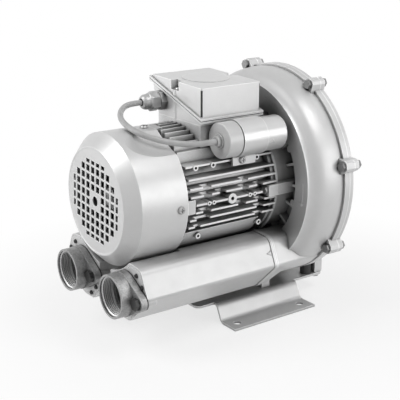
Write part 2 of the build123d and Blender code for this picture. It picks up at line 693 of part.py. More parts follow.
def make_motor_frame():
    """Finned stator frame with its belly, bosses, tie lugs and the neck of the terminal box."""
    rear = DRUM_FRONT_Y - FACE_GAP
    length = rear - FRAME_FRONT
    with BuildPart() as motor_frame:
        with BuildSketch(section(rear)):
            frame_section()
        extrude(amount=length)
        for y0, y1, z0, z1 in fin_gaps():
            for side in (-1, 1):
                x = sorted((side * (CORE_R + 3.0), side * (FIN_TIP_R + 5)))
                block(x, (y0, y1), (z0, z1), mode=Mode.SUBTRACT)
        with BuildSketch(section(BELLY_END)):
            Circle(BELLY_R)
            with Locations((0, BELLY_Z)):
                Rectangle(3 * BELLY_R, 3 * BELLY_R, align=(Align.CENTER, Align.MIN), mode=Mode.SUBTRACT)
            Circle(CORE_R - 2, mode=Mode.SUBTRACT)
        extrude(amount=BELLY_END - FRAME_FRONT)
        block(NECK_X, NECK_Y, (SADDLE_Z - 4, BOX_FLOOR_Z))
        neck_x = (NECK_X[0] + NECK_WALL, NECK_X[1] - NECK_WALL)
        neck_y = (NECK_Y[0] + NECK_WALL, NECK_Y[1] - NECK_WALL)
        block(neck_x, neck_y, (SADDLE_Z + 4, BOX_FLOOR_Z + 1), mode=Mode.SUBTRACT)
        for places, z, radius, _, reach in frame_bosses():
            boss_row(places, z, SADDLE_X, radius, reach - SADDLE_X)
        for places, z, _, hole, reach in frame_bosses():
            boss_row(places, z, reach, hole, -BOSS_HOLE_L, mode=Mode.SUBTRACT)
        block((SADDLE_X, CLAMP_X), (CLAMP_SCREW_Y - 8, CLAMP_SCREW_Y + 8),
              (CLAMP_PAD_Z - 5.5, CLAMP_PAD_Z + 4.5))
        rod(sideways(SADDLE_X, CLAMP_SCREW_Y, CLAMP_PAD_Z), M5_R, CLAMP_X, mode=Mode.SUBTRACT)
        lathe(((rear - FRAME_RING_T, STATOR_R), (rear - FRAME_RING_T, FRAME_RING_R), (rear, FRAME_RING_R),
               (rear, DRUM_BORE_R - SEAT_GAP), (rear + SPIGOT_L, DRUM_BORE_R - SEAT_GAP),
               (rear + SPIGOT_L, STATOR_R)))
        tie_bars(rear - TIE_W, rear, CORE_R - 2, M5_R + CLEAR)
        with BuildSketch(section(rear - TIE_W)) as pockets:
            with PolarLocations(TIE_BOLT_R, 4, start_angle=TIE_TURN):
                Rectangle(2 * TIE_OUT_R - 2 * TIE_BOLT_R + 2, TIE_W)
        extrude(pockets.sketch, amount=TIE_POCKET_L, mode=Mode.SUBTRACT)
        rod(section(rear + SPIGOT_L), STATOR_R + SEAT_GAP, length + SPIGOT_L, mode=Mode.SUBTRACT)
        for quarter in range(4):
            cowl_lug(COWL_SCREW_TURN + 90 * quarter, CORE_R + 0.4, FIN_TIP_R + 5, COWL_LUG_REAR + 1,
                     COWL_LUG_W + 2, mode=Mode.SUBTRACT)
        for turn in shield_screw_turns():
            rod(shield_plane(turn, FRAME_FRONT + 16), M4_R, 20, mode=Mode.SUBTRACT)
    save(motor_frame, "motor_frame")


def cowl_lug(turn, low_r, high_r, rear, width, mode=Mode.ADD):
    """Block between two radii at an angle, from the cowl lugs' front to the given rear."""
    with BuildSketch(section(rear)) as outline:
        with PolarLocations(0, 1, start_angle=turn):
            with Locations(((low_r + high_r) / 2, 0)):
                Rectangle(high_r - low_r, width)
    extrude(outline.sketch, amount=rear - COWL_LUG_FRONT, mode=mode)


def shield_screw_turns():
    """Angles of the screws that hold the rear end shield, between the cowl lugs."""
    return [COWL_SCREW_TURN + 45 + 90 * quarter for quarter in range(4)]


def shield_plane(turn, y):
    """Plane across an end-shield screw at y."""
    radius = (STATOR_R + SEAT_GAP + CORE_R) / 2
    return section(y, radius * cos(radians(turn)), radius * sin(radians(turn)))


def make_rear_end_shield():
    """Rear end shield: bearing hub, disc, spigot and the lugs that carry the cowl."""
    front = SHIELD_REAR - SHIELD_T
    with BuildPart() as rear_end_shield:
        lathe(((front, 12.0), (front, SHIELD_R), (SHIELD_REAR, SHIELD_R), (SHIELD_REAR, STATOR_R),
               (SHIELD_REAR + 4, STATOR_R), (SHIELD_REAR + 4, STATOR_R - 5), (SHIELD_REAR, STATOR_R - 5),
               (SHIELD_REAR, 12.0)))
        rod(section(front), BEARING_R + 6, front - REAR_BEARING_Y)
        for quarter in range(4):
            turn = COWL_SCREW_TURN + 90 * quarter
            cowl_lug(turn, SHIELD_R - 3, COWL_LUG_R, SHIELD_REAR, COWL_LUG_W)
            cowl_lug(turn, CORE_R + 0.8, COWL_LUG_R, COWL_LUG_REAR, COWL_LUG_W)
        inside = COWL_R - COWL_T - SEAT_GAP
        lathe(((COWL_LUG_FRONT - 1, inside), (COWL_REAR + SEAT_GAP, inside),
               (COWL_REAR + SEAT_GAP, COWL_R + 20), (COWL_LUG_FRONT - 1, COWL_R + 20)), mode=Mode.SUBTRACT)
        for quarter in range(4):
            rod(outward(COWL_SCREW_TURN + 90 * quarter, COWL_SCREW_Y, SHIELD_R + 2), 2.0, 20,
                mode=Mode.SUBTRACT)
        rod(section(REAR_BEARING_Y + BEARING_W), BEARING_R, BEARING_W + 1, mode=Mode.SUBTRACT)
        rod(section(SHIELD_REAR + 10), BEARING_R - 8, 20, mode=Mode.SUBTRACT)
        for turn in shield_screw_turns():
            rod(shield_plane(turn, SHIELD_REAR + 1), M4_R + CLEAR, SHIELD_T + 2, mode=Mode.SUBTRACT)
    save(rear_end_shield, "rear_end_shield")


def make_motor_screws():
    """Screws of the rear end shield and the four tie screws into the drum."""
    front = SHIELD_REAR - SHIELD_T
    with BuildPart() as end_shield_screws:
        for turn in shield_screw_turns():
            pan_screw(shield_plane(turn, front), M4_R, 3.6, 2.8, SHIELD_T + 12)
    save(end_shield_screws, "end_shield_screws")
    start = DRUM_FRONT_Y - FACE_GAP - TIE_W
    with BuildPart() as tie_screws:
        for quarter in range(4):
            turn = radians(TIE_TURN + 90 * quarter)
            place = section(start, TIE_BOLT_R * cos(turn), TIE_BOLT_R * sin(turn))
            hex_bolt(place, M5_R, 8.0, 3.5, TIE_W + 22)
    save(tie_screws, "tie_screws")


def make_fan_cowl():
    """Pressed cowl: grille of square holes, raised ring, cone, cylinder and a dish for the cable."""
    face = COWL_FRONT + COWL_FACE_IN
    with BuildPart() as fan_cowl:
        lathe(((face, 0), (face, COWL_RING_R - 3.5), (COWL_FRONT, COWL_RING_R - 2.5),
               (COWL_FRONT, COWL_RING_R - 1), (COWL_FRONT + 1, COWL_RING_R), (COWL_SHOULDER, COWL_R),
               (COWL_REAR, COWL_R), (COWL_REAR, 0)))
        dish(0.0)
        inner = COWL_R - COWL_T
        with BuildPart(mode=Mode.PRIVATE) as hollow:
            lathe(((face + COWL_T, 0), (face + COWL_T, COWL_RING_R - COWL_T),
                   (COWL_SHOULDER + COWL_T / 2, inner), (COWL_REAR + 1, inner), (COWL_REAR + 1, 0)))
            dish(COWL_T)
        add(hollow.part, mode=Mode.SUBTRACT)
        grille(face)
        for quarter in range(4):
            rod(outward(COWL_SCREW_TURN + 90 * quarter, COWL_SCREW_Y, COWL_R - 6), 2.0 + CLEAR, 12,
                mode=Mode.SUBTRACT)
    save(fan_cowl, "fan_cowl")


def dish(grow):
    """Shallow dish pressed into the cowl's shoulder; grow moves its wall towards the shaft."""
    way = radians(DISH_TURN)
    centre_r = COWL_R - DISH_DEPTH + DISH_R
    centre = (centre_r * cos(way), DISH_Y, AXIS_H + centre_r * sin(way))
    with Locations(centre):
        Sphere(DISH_R + grow, mode=Mode.SUBTRACT)
    rod(Plane(origin=centre, x_dir=(1, 0, 0), z_dir=(0, 1, 0)), DISH_R + grow, COWL_REAR + 5 - DISH_Y,
        mode=Mode.SUBTRACT)


def grille_cells():
    """Centres and sizes of the grille's holes: an octagon of squares, smaller along its edges."""
    trim = (GRILLE_HOLE - GRILLE_EDGE_HOLE) / 2
    widths = {0: (3, 6), 1: (2, 7), 2: (1, 8), 3: (0, 9), 4: (0, 9)}
    cells = []
    for row in range(10):
        first, last = widths[min(row, 9 - row)]
        for column in range(first, last + 1):
            x = (column - 4.5) * GRILLE_PITCH_X
            z = (4.5 - row) * GRILLE_PITCH_Z
            if abs(x) < GRILLE_PITCH_X and abs(z) < GRILLE_PITCH_Z:
                continue
            wide, high = GRILLE_HOLE, GRILLE_HOLE
            if column in (0, 9):
                wide = GRILLE_EDGE_HOLE
                x += trim if x < 0 else -trim
            if row in (0, 9):
                high = GRILLE_EDGE_HOLE
                z += trim if z < 0 else -trim
            cells.append((x, z, wide, high))
    return cells


def grille(face):
    """Cut the air inlet of the cowl."""
    tilt = radians(GRILLE_TURN)
    front = Plane(origin=(0, face + COWL_T + 1, AXIS_H), x_dir=(cos(tilt), 0, sin(tilt)), z_dir=(0, -1, 0))
    with BuildSketch(front) as holes:
        Circle(GRILLE_EYE_R)
        for x, z, wide, high in grille_cells():
            with Locations((x, z)):
                Rectangle(wide, high)
    extrude(holes.sketch, amount=COWL_T + 2, mode=Mode.SUBTRACT)


def make_cowl_screws():
    """Four pan-head screws round the cowl."""
    with BuildPart() as cowl_screws:
        for quarter in range(4):
            turn = COWL_SCREW_TURN + 90 * quarter
            pan_screw(outward(turn, COWL_SCREW_Y, COWL_R), 2.0, 4.6, 2.8, 11.0)
    save(cowl_screws, "cowl_screws")


def make_stator():
    """Laminated stator core and the winding heads on both of its ends."""
    with BuildPart() as stator_core:
        tube(section(CORE_REAR), STATOR_R, STATOR_BORE_R, CORE_REAR - CORE_FRONT)
    save(stator_core, "stator_core")
    with BuildPart() as stator_windings:
        tube(section(CORE_FRONT), WINDING_OUT_R, WINDING_IN_R, WINDING_L)
        tube(section(CORE_REAR + WINDING_L), WINDING_OUT_R, WINDING_IN_R, WINDING_L)
    save(stator_windings, "stator_windings")


def make_shaft():
    """Stepped shaft with a threaded stud for the impeller's nut."""
    rear_seat = REAR_BEARING_Y + BEARING_W
    with BuildPart() as shaft:
        lathe(((SHAFT_FRONT, 0), (SHAFT_FRONT, FAN_SEAT_R), (REAR_BEARING_Y, FAN_SEAT_R),
               (REAR_BEARING_Y, BEARING_SEAT_R), (rear_seat, BEARING_SEAT_R), (rear_seat, SHAFT_R),
               (DRIVE_BEARING_Y, SHAFT_R), (DRIVE_BEARING_Y, BEARING_SEAT_R),
               (IMPELLER_FRONT - 4, BEARING_SEAT_R), (IMPELLER_FRONT - 4, IMPELLER_SEAT_R),
               (IMPELLER_REAR - 0.5, IMPELLER_SEAT_R), (IMPELLER_REAR - 0.5, STUD_R), (STUD_END, STUD_R),
               (STUD_END, 0)))
        block((-3, 3), (IMPELLER_FRONT + 3, IMPELLER_REAR - 3), (IMPELLER_SEAT_R - 3.5, IMPELLER_SEAT_R + 1),
              mode=Mode.SUBTRACT)
        block((-3, 3), (FAN_FRONT + 6, FAN_REAR - 6), (FAN_SEAT_R - 2, FAN_SEAT_R + 1), mode=Mode.SUBTRACT)
        clip_groove(FAN_SEAT_R - 1)
    save(shaft, "shaft")


def clip_groove(radius):
    """Groove for the fan's retaining ring."""
    lathe(((FAN_FRONT - 2.2, radius), (FAN_FRONT - 2.2, FAN_SEAT_R + 5), (FAN_FRONT - 1, FAN_SEAT_R + 5),
           (FAN_FRONT - 1, radius)), mode=Mode.SUBTRACT)


def make_rotor_core():
    """Cage rotor: laminated core and an aluminium ring on each end."""
    with BuildPart() as rotor_core:
        tube(section(CORE_REAR), STATOR_BORE_R - AIR_GAP, SHAFT_R, CORE_REAR - CORE_FRONT)
        tube(section(CORE_FRONT), END_RING_R, SHAFT_R + 6, END_RING_L)
        tube(section(CORE_REAR + END_RING_L), END_RING_R, SHAFT_R + 6, END_RING_L)
    save(rotor_core, "rotor_core")


def make_keys():
    """Feather keys of the impeller and of the fan."""
    with BuildPart() as shaft_keys:
        block((-3, 3), (IMPELLER_FRONT + 3, IMPELLER_REAR - 3), (IMPELLER_SEAT_R - 3.5, IMPELLER_SEAT_R + 2.2))
        block((-3, 3), (FAN_FRONT + 6, FAN_REAR - 6), (FAN_SEAT_R - 2, FAN_SEAT_R + 1.8))
    save(shaft_keys, "shaft_keys")


def make_impeller():
    """Impeller: hub, thin web and a ring of blades open to both halves of the channel."""
    with BuildPart() as impeller:
        lathe(((IMPELLER_FRONT, IMPELLER_SEAT_R), (IMPELLER_FRONT, 26.0), (IMPELLER_MID - 5, 30.0),
               (IMPELLER_MID - 5, 74.0), (IMPELLER_FRONT, 78.0), (IMPELLER_FRONT, BLADE_ROOT_R - 3),
               (IMPELLER_MID - 6, BLADE_ROOT_R), (IMPELLER_MID - 2, BLADE_ROOT_R + 12),
               (IMPELLER_MID - 1.5, IMPELLER_R), (IMPELLER_MID + 1.5, IMPELLER_R),
               (IMPELLER_MID + 2, BLADE_ROOT_R + 12), (IMPELLER_MID + 6, BLADE_ROOT_R),
               (IMPELLER_REAR, BLADE_ROOT_R - 3), (IMPELLER_REAR, 78.0), (IMPELLER_MID + 5, 74.0),
               (IMPELLER_MID + 5, 30.0), (IMPELLER_REAR, 26.0), (IMPELLER_REAR, IMPELLER_SEAT_R)))
        with BuildSketch(section(IMPELLER_REAR)) as blades:
            with PolarLocations((BLADE_ROOT_R - 4 + IMPELLER_R - 0.5) / 2, BLADE_COUNT):
                Rectangle(IMPELLER_R - 0.5 - BLADE_ROOT_R + 4, BLADE_T)
        extrude(blades.sketch, amount=IMPELLER_W)
        block((-3, 3), (IMPELLER_FRONT - 1, IMPELLER_REAR + 1), (IMPELLER_SEAT_R - 3, IMPELLER_SEAT_R + 2.5),
              mode=Mode.SUBTRACT)
    save(impeller, "impeller")


def make_impeller_nut():
    """Washer and nut that hold the impeller on the shaft."""
    with BuildPart() as impeller_washer:
        tube(section(IMPELLER_REAR + 2.5), 14.0, STUD_R + CLEAR, 2.5)
    save(impeller_washer, "impeller_washer")
    with BuildPart() as impeller_nut:
        hexagon(section(IMPELLER_REAR + 9.5), 18.0, 7.0)
        rod(section(IMPELLER_REAR + 10), STUD_R, 8.0, mode=Mode.SUBTRACT)
    save(impeller_nut, "impeller_nut")


def make_cooling_fan():
    """Moulded radial fan: hub, back disc and straight blades for both senses of rotation."""
    with BuildPart() as cooling_fan:
        lathe(((FAN_FRONT, FAN_SEAT_R), (FAN_FRONT, FAN_HUB_R), (FAN_REAR - 5, FAN_HUB_R + 2),
               (FAN_REAR - 3, FAN_R), (FAN_REAR, FAN_R), (FAN_REAR, FAN_SEAT_R)))
        with BuildSketch(section(FAN_REAR - 1)) as blades:
            with PolarLocations((FAN_HUB_R + FAN_R - 1) / 2, FAN_BLADES):
                Rectangle(FAN_R - FAN_HUB_R + 1, FAN_BLADE_T)
        extrude(blades.sketch, amount=FAN_REAR - FAN_FRONT - 4)
        block((-3, 3), (FAN_FRONT - 1, FAN_REAR + 1), (0, FAN_SEAT_R + 2.1), mode=Mode.SUBTRACT)
    save(cooling_fan, "cooling_fan")
    with BuildPart() as fan_clip:
        tube(section(FAN_FRONT - 1), FAN_SEAT_R + 3.5, FAN_SEAT_R - 1, 1.2)
        block((-2.5, 2.5), (FAN_FRONT - 4, FAN_FRONT), (-FAN_SEAT_R - 6, 0), mode=Mode.SUBTRACT)
    save(fan_clip, "fan_clip")


def make_bearing(place, front, outer_name, inner_name, balls_name):
    """Deep-groove ball bearing at the drive end or at the rear."""
    middle = front + BEARING_W / 2
    rear = front + BEARING_W
    with BuildPart() as outer_ring:
        tube(section(rear), BEARING_R, RACE_OUT_R, BEARING_W)
        race_groove(middle)
    save(outer_ring, f"{place}_{outer_name}")
    with BuildPart() as inner_ring:
        tube(section(rear), RACE_IN_R, BEARING_SEAT_R, BEARING_W)
        race_groove(middle)
    save(inner_ring, f"{place}_{inner_name}")
    with BuildPart() as balls:
        for number in range(BALL_COUNT):
            turn = radians(360 / BALL_COUNT * number)
            with Locations((BALL_PITCH_R * cos(turn), middle, AXIS_H + BALL_PITCH_R * sin(turn))):
                Sphere(BALL_R)
    save(balls, f"{place}_{balls_name}")


def race_groove(middle):
    """Round groove that the balls run in."""
    with BuildSketch(radial(90)) as ring:
        with Locations((middle, BALL_PITCH_R)):
            Circle(BALL_R + BORE_FIT)
    revolve(ring.sketch, axis=SHAFT_AXIS, mode=Mode.SUBTRACT)


def make_shaft_seal():
    """Lip seal between the drive bearing and the side channel."""
    with BuildPart() as shaft_seal:
        tube(section(SEAL_Y + SEAL_W), SEAL_R, BEARING_SEAT_R + BORE_FIT, SEAL_W)
    save(shaft_seal, "shaft_seal")


def ears(side, y, radius, length, mode=Mode.ADD):
    """Pair of rods at the flange bolts of one port, from y towards the front."""
    with BuildSketch(section(y, side * PORT_X, PORT_Z)) as pair:
        with Locations((-EAR_X, 0), (EAR_X, 0)):
            Circle(radius)
    extrude(pair.sketch, amount=length, mode=mode)


def make_silencer(side, name):
    """Silencer housing: cast tube of the duct's section with a bead at the seam."""
    with BuildPart() as silencer:
        rear = SEAM_Y
        extrude(duct_sketch(rear, side), amount=rear - SILENCER_STEP_Y)
        extrude(duct_sketch(SILENCER_STEP_Y, side, gap_r=COWL_GAP_R),
                amount=SILENCER_STEP_Y - SILENCER_FRONT)
        extrude(duct_sketch(rear, side, inset=-SEAM_BEAD), amount=SEAM_BEAD_L)
        extrude(duct_sketch(rear, side, inset=DUCT_WALL, gap_r=COWL_GAP_R),
                amount=rear - SILENCER_FRONT, mode=Mode.SUBTRACT)
        ears(side, SILENCER_FRONT + EAR_BOSS_L, EAR_BOSS_R, EAR_BOSS_L)
        ears(side, SILENCER_FRONT + EAR_BOSS_L, M8_R, EAR_BOSS_L, mode=Mode.SUBTRACT)
    save(silencer, f"silencer_{name}")


def plate_screw_places(side):
    """Places of the end plate's screws across the shaft."""
    return [(side * (PORT_X + x), PORT_Z + z) for x, z in PLATE_SCREWS]


def make_silencer_inside(side, name):
    """End plate and absorbing foam of one silencer."""
    inner = duct_sketch(SILENCER_FRONT + PLATE_T, side, inset=DUCT_WALL + SEAT_GAP, gap_r=COWL_GAP_R)
    with BuildPart() as end_plate:
        extrude(inner, amount=PLATE_T)
        rod(section(SILENCER_FRONT + PLATE_T + 1, side * PORT_X, PORT_Z), DUCT_BORE_R, PLATE_T + 2,
            mode=Mode.SUBTRACT)
        ears(side, SILENCER_FRONT + PLATE_T + 1, EAR_BOSS_R + CLEAR, PLATE_T + 2, mode=Mode.SUBTRACT)
        for x, z in plate_screw_places(side):
            rod(section(SILENCER_FRONT + PLATE_T + 1, x, z), M3_R + CLEAR, PLATE_T + 2,
                mode=Mode.SUBTRACT)
    save(end_plate, f"silencer_plate_{name}")
    with BuildPart() as foam:
        rear = SEAM_Y - FACE_GAP
        shape = duct_sketch(rear, side, inset=DUCT_WALL + SEAT_GAP, gap_r=COWL_GAP_R)
        extrude(shape, amount=rear - SILENCER_FRONT - FOAM_FRONT_GAP)
        rod(section(rear + 1, side * PORT_X, PORT_Z), FOAM_BORE_R, -SILENCER_FRONT, mode=Mode.SUBTRACT)
    save(foam, f"silencer_foam_{name}")


def make_plate_screws():
    """Small screws that hold both end plates."""
    with BuildPart() as plate_screws:
        for side in (-1, 1):
            for x, z in plate_screw_places(side):
                pan_screw(section(SILENCER_FRONT, x, z), M3_R, 2.75, 2.0, 9.0)
    save(plate_screws, "plate_screws")


def flange_sketch(y, side):
    """Outline of a port flange: the hull round its body and the two bolt ears."""
    with BuildSketch(section(y, side * PORT_X, PORT_Z)) as outline:
        Circle(FLANGE_BODY_R)
        with Locations((-EAR_X, 0), (EAR_X, 0)):
            Circle(EAR_R)
        make_hull(outline.sketch_local.edges())
    return outline.sketch


def make_port(side, name):
    """Threaded port with its rhombic flange, and the flat gasket behind it."""
    centre = (side * PORT_X, PORT_Z)
    with BuildPart() as port_flange:
        extrude(flange_sketch(PORT_FLANGE_REAR, side), amount=PORT_FLANGE_T)
        rod(section(PORT_FLANGE_FRONT, *centre), PORT_RING_R, PORT_FLANGE_FRONT - PORT_FRONT)
        rod(section(PORT_FLANGE_REAR + 1, *centre), DUCT_BORE_R, 300, mode=Mode.SUBTRACT)
        rod(section(PORT_FRONT + THREAD_L, *centre), THREAD_ROOT_R, THREAD_L + 1, mode=Mode.SUBTRACT)
        ears(side, PORT_FLANGE_REAR + 1, M8_R + CLEAR, PORT_FLANGE_T + 2, mode=Mode.SUBTRACT)
    save(port_flange, f"port_flange_{name}")
    with BuildPart() as gasket:
        extrude(flange_sketch(SILENCER_FRONT, side), amount=GASKET_T)
        rod(section(SILENCER_FRONT + 1, *centre), DUCT_BORE_R + 1, GASKET_T + 2, mode=Mode.SUBTRACT)
        ears(side, SILENCER_FRONT + 1, M8_R + CLEAR, GASKET_T + 2, mode=Mode.SUBTRACT)
    save(gasket, f"port_gasket_{name}")


def make_flange_bolts():
    """Four hexagon bolts through the port flanges into the end plates."""
    with BuildPart() as flange_bolts:
        for side in (-1, 1):
            for ear in (-1, 1):
                place = section(PORT_FLANGE_FRONT, side * PORT_X + ear * EAR_X, PORT_Z)
                hex_bolt(place, M8_R, 13.0, 5.3, PORT_FLANGE_T + GASKET_T + EAR_BOSS_L)
    save(flange_bolts, "flange_bolts")


def parting_z(x):
    """Height of the terminal box's slanted parting face at x."""
    return PARTING_LEFT_Z + PARTING_SLOPE * (x - BOX_X[0])


def box_slab(low, high, outset, mode=Mode.ADD):
    """Slab along the parting face, between two heights above it, wider than the box by outset."""
    left = BOX_X[0] - outset
    right = BOX_X[1] + outset
    with BuildSketch(section(BOX_Y[1] + outset)) as outline:
        Polygon((left, parting_z(left) + low), (right, parting_z(right) + low),
                (right, parting_z(right) + high), (left, parting_z(left) + high), align=None)
    extrude(outline.sketch, amount=BOX_Y[1] - BOX_Y[0] + 2 * outset, mode=mode)


def make_terminal_box():
    """Terminal box: a wedge-shaped base, a flat gasket on its slanted face and the lid."""
    wall = BOX_WALL
    depth = BOX_Y[1] - BOX_Y[0]
    with BuildPart() as terminal_box_base:
        with BuildSketch(section(BOX_Y[1])):
            Polygon((BOX_FLOOR_LEFT_X, BOX_FLOOR_Z), (BOX_X[1] - 1, BOX_FLOOR_Z),
                    (BOX_X[1], parting_z(BOX_X[1])), (BOX_X[0], parting_z(BOX_X[0])), align=None)
        extrude(amount=depth)
        with BuildSketch(section(BOX_Y[1] - wall)):
            Polygon((BOX_FLOOR_LEFT_X + wall, BOX_FLOOR_Z + wall), (BOX_X[1] - wall - 1, BOX_FLOOR_Z + wall),
                    (BOX_X[1] - wall, parting_z(BOX_X[1]) + 9), (BOX_X[0] + wall, parting_z(BOX_X[0]) + 9),
                    align=None)
        extrude(amount=depth - 2 * wall, mode=Mode.SUBTRACT)
        box_slab(-LIP_T, 0, LIP_OUT)
        box_slab(-LIP_T - 1, 1, -wall, mode=Mode.SUBTRACT)
        lid_towers(BOX_FLOOR_Z, 0.0, TOWER_R)
        box_slab(0, 60, 40, mode=Mode.SUBTRACT)
        rod(section(BOX_Y[0] + wall + 1, GLAND_X, GLAND_Z), 8.0, wall + 2, mode=Mode.SUBTRACT)
        block((-12, 24), (-72, -36), (BOX_FLOOR_Z - 1, BOX_FLOOR_Z + wall + 1), mode=Mode.SUBTRACT)
        lid_towers(BOX_FLOOR_Z + 6, 40.0, 2.0, mode=Mode.SUBTRACT)
    save(terminal_box_base, "terminal_box_base")
    with BuildPart() as lid_gasket:
        box_slab(0, LID_GASKET_T, LIP_OUT - 0.6)
        box_slab(-1, LID_GASKET_T + 1, -wall, mode=Mode.SUBTRACT)
        lid_towers(BOX_FLOOR_Z + 6, 40.0, 2.0 + CLEAR, mode=Mode.SUBTRACT)
    save(lid_gasket, "lid_gasket")
    make_lid()


def lid_tower_places():
    """Places of the two lid screws, in the middle of the front and rear walls."""
    x = (POCKET_X[0] + POCKET_X[1]) / 2
    return [(x, BOX_Y[0] + POCKET_DEPTH / 2), (x, BOX_Y[1] - POCKET_DEPTH / 2)]


def lid_towers(low, reach, radius, mode=Mode.ADD):
    """Upright round posts round the lid screws; reach counts from the parting face."""
    for x, y in lid_tower_places():
        base = Plane(origin=(x, y, AXIS_H + low), x_dir=(1, 0, 0), z_dir=(0, 0, 1))
        rod(base, radius, parting_z(x) + 3 + reach - low, mode=mode)


def make_lid():
    """Deep lid with a round embossed field on top and a pocket for each screw."""
    wall = BOX_WALL
    start = LID_GASKET_T
    depth = BOX_Y[1] - BOX_Y[0]
    with BuildPart() as terminal_box_lid:
        with BuildSketch(section(BOX_Y[1])):
            Polygon((BOX_X[0], parting_z(BOX_X[0]) + start), (BOX_X[1], parting_z(BOX_X[1]) + start),
                    (BOX_X[1], LID_TOP_RIGHT_Z), (BOX_X[0], LID_TOP_LEFT_Z), align=None)
        extrude(amount=depth)
        upright = terminal_box_lid.edges().filter_by(Axis.Z)
        fillet(upright, 2.0)
        with BuildSketch(section(BOX_Y[1] - wall)):
            Polygon((BOX_X[0] + wall, parting_z(BOX_X[0]) - 9), (BOX_X[1] - wall, parting_z(BOX_X[1]) - 9),
                    (BOX_X[1] - wall, LID_TOP_RIGHT_Z - wall), (BOX_X[0] + wall, LID_TOP_LEFT_Z - wall),
                    align=None)
        extrude(amount=depth - 2 * wall, mode=Mode.SUBTRACT)
        box_slab(start, start + LIP_T, LIP_OUT)
        box_slab(start - 1, start + LIP_T + 0.4, -wall, mode=Mode.SUBTRACT)
        lid_towers(BOX_FLOOR_Z, POCKET_FLOOR_Z - parting_z(POCKET_X[0] + 8) - 3, TOWER_R)
        for x, y in lid_tower_places():
            inwards = 2 if y < sum(BOX_Y) / 2 else -2
            ends = sorted((y - inwards * POCKET_DEPTH / 4, y + inwards * (POCKET_DEPTH / 4 + 1)))
            block((POCKET_X[0] - 2, POCKET_X[1] + 2), ends, (POCKET_FLOOR_Z - 2, LID_TOP_RIGHT_Z))
            ends = sorted((y - inwards * POCKET_DEPTH / 2, y + inwards * POCKET_DEPTH / 4))
            block(POCKET_X, ends, (POCKET_FLOOR_Z, LID_TOP_LEFT_Z + 5), mode=Mode.SUBTRACT)
        box_slab(-60, start, 40, mode=Mode.SUBTRACT)
        lid_towers(BOX_FLOOR_Z, 40.0, 2.0 + CLEAR, mode=Mode.SUBTRACT)
        disc_on_lid()
    save(terminal_box_lid, "terminal_box_lid")


def disc_on_lid():
    """Round embossed field in the middle of the lid's top."""
    slope = (LID_TOP_RIGHT_Z - LID_TOP_LEFT_Z) / (BOX_X[1] - BOX_X[0])
    tilt = atan2(slope, 1.0)
    middle_z = (LID_TOP_LEFT_Z + LID_TOP_RIGHT_Z) / 2
    top = Plane(origin=(sum(BOX_X) / 2, sum(BOX_Y) / 2, AXIS_H + middle_z - 1),
                x_dir=(cos(tilt), 0, sin(tilt)), z_dir=(-sin(tilt), 0, cos(tilt)))
    rod(top, LID_DISC_R, 1 + LID_DISC_RISE)


def make_lid_screws():
    """Two screws at the bottom of the lid's pockets."""
    with BuildPart() as lid_screws:
        for x, y in lid_tower_places():
            top = Plane(origin=(x, y, AXIS_H + POCKET_FLOOR_Z), x_dir=(1, 0, 0), z_dir=(0, 0, 1))
            pan_screw(top, 2.0, 3.6, 2.6, POCKET_FLOOR_Z - BOX_FLOOR_Z - 8)
    save(lid_screws, "lid_screws")


def make_terminal_block():
    """Moulded terminal block on the box's floor, with its brass studs."""
    low = BOX_FLOOR_Z + BOX_WALL
    with BuildPart() as terminal_block:
        block((-34, -14), (-80, -30), (low, low + 9))
        for row in range(3):
            block((-30, -18), (-72 + 16 * row, -63 + 16 * row), (low + 7, low + 12))
    save(terminal_block, "terminal_block")
    with BuildPart() as terminal_studs:
        for row in range(3):
            base = Plane(origin=(-24, -67.5 + 16 * row, AXIS_H + low + 12), x_dir=(1, 0, 0), z_dir=(0, 0, 1))
            rod(base, 2.0, 7.0)
            hexagon(base, 7.0, 3.0)
    save(terminal_studs, "terminal_studs")


def make_gland():
    """Cable gland: hexagon body in the box's wall and a domed nut in front of it."""
    wall_y = BOX_Y[0]
    with BuildPart() as gland_body:
        hexagon(section(wall_y, GLAND_X, GLAND_Z), GLAND_AF, GLAND_BODY_L)
        rod(section(wall_y + BOX_WALL + 5, GLAND_X, GLAND_Z), 8.0 - BORE_FIT, BOX_WALL + 6)
        rod(section(wall_y + BOX_WALL + 6, GLAND_X, GLAND_Z), CABLE_R + 1, 40, mode=Mode.SUBTRACT)
    save(gland_body, "gland_body")
    nut_rear = wall_y - GLAND_BODY_L
    nut_front = nut_rear - GLAND_NUT_L
    seal_front = GLAND_TIP + CABLE_START
    with BuildPart() as gland_nut:
        hexagon(section(nut_rear, GLAND_X, GLAND_Z), GLAND_AF - 0.5, GLAND_NUT_L)
        with BuildSketch(section(nut_front, GLAND_X, GLAND_Z)) as foot:
            Circle(GLAND_AF / 2 - 0.6)
        extrude(foot.sketch, amount=GLAND_DOME_L, taper=12)
        rod(section(nut_rear + 1, GLAND_X, GLAND_Z), CABLE_R + SEAT_GAP, 60, mode=Mode.SUBTRACT)
        rod(section(nut_rear + 1, GLAND_X, GLAND_Z), SEAL_PLUG_R + SEAT_GAP, nut_rear + 1 - seal_front,
            mode=Mode.SUBTRACT)
    save(gland_nut, "gland_nut")
    with BuildPart() as gland_seal:
        rod(section(seal_front + SEAL_PLUG_L, GLAND_X, GLAND_Z), SEAL_PLUG_R, SEAL_PLUG_L)
    save(gland_seal, "gland_seal")


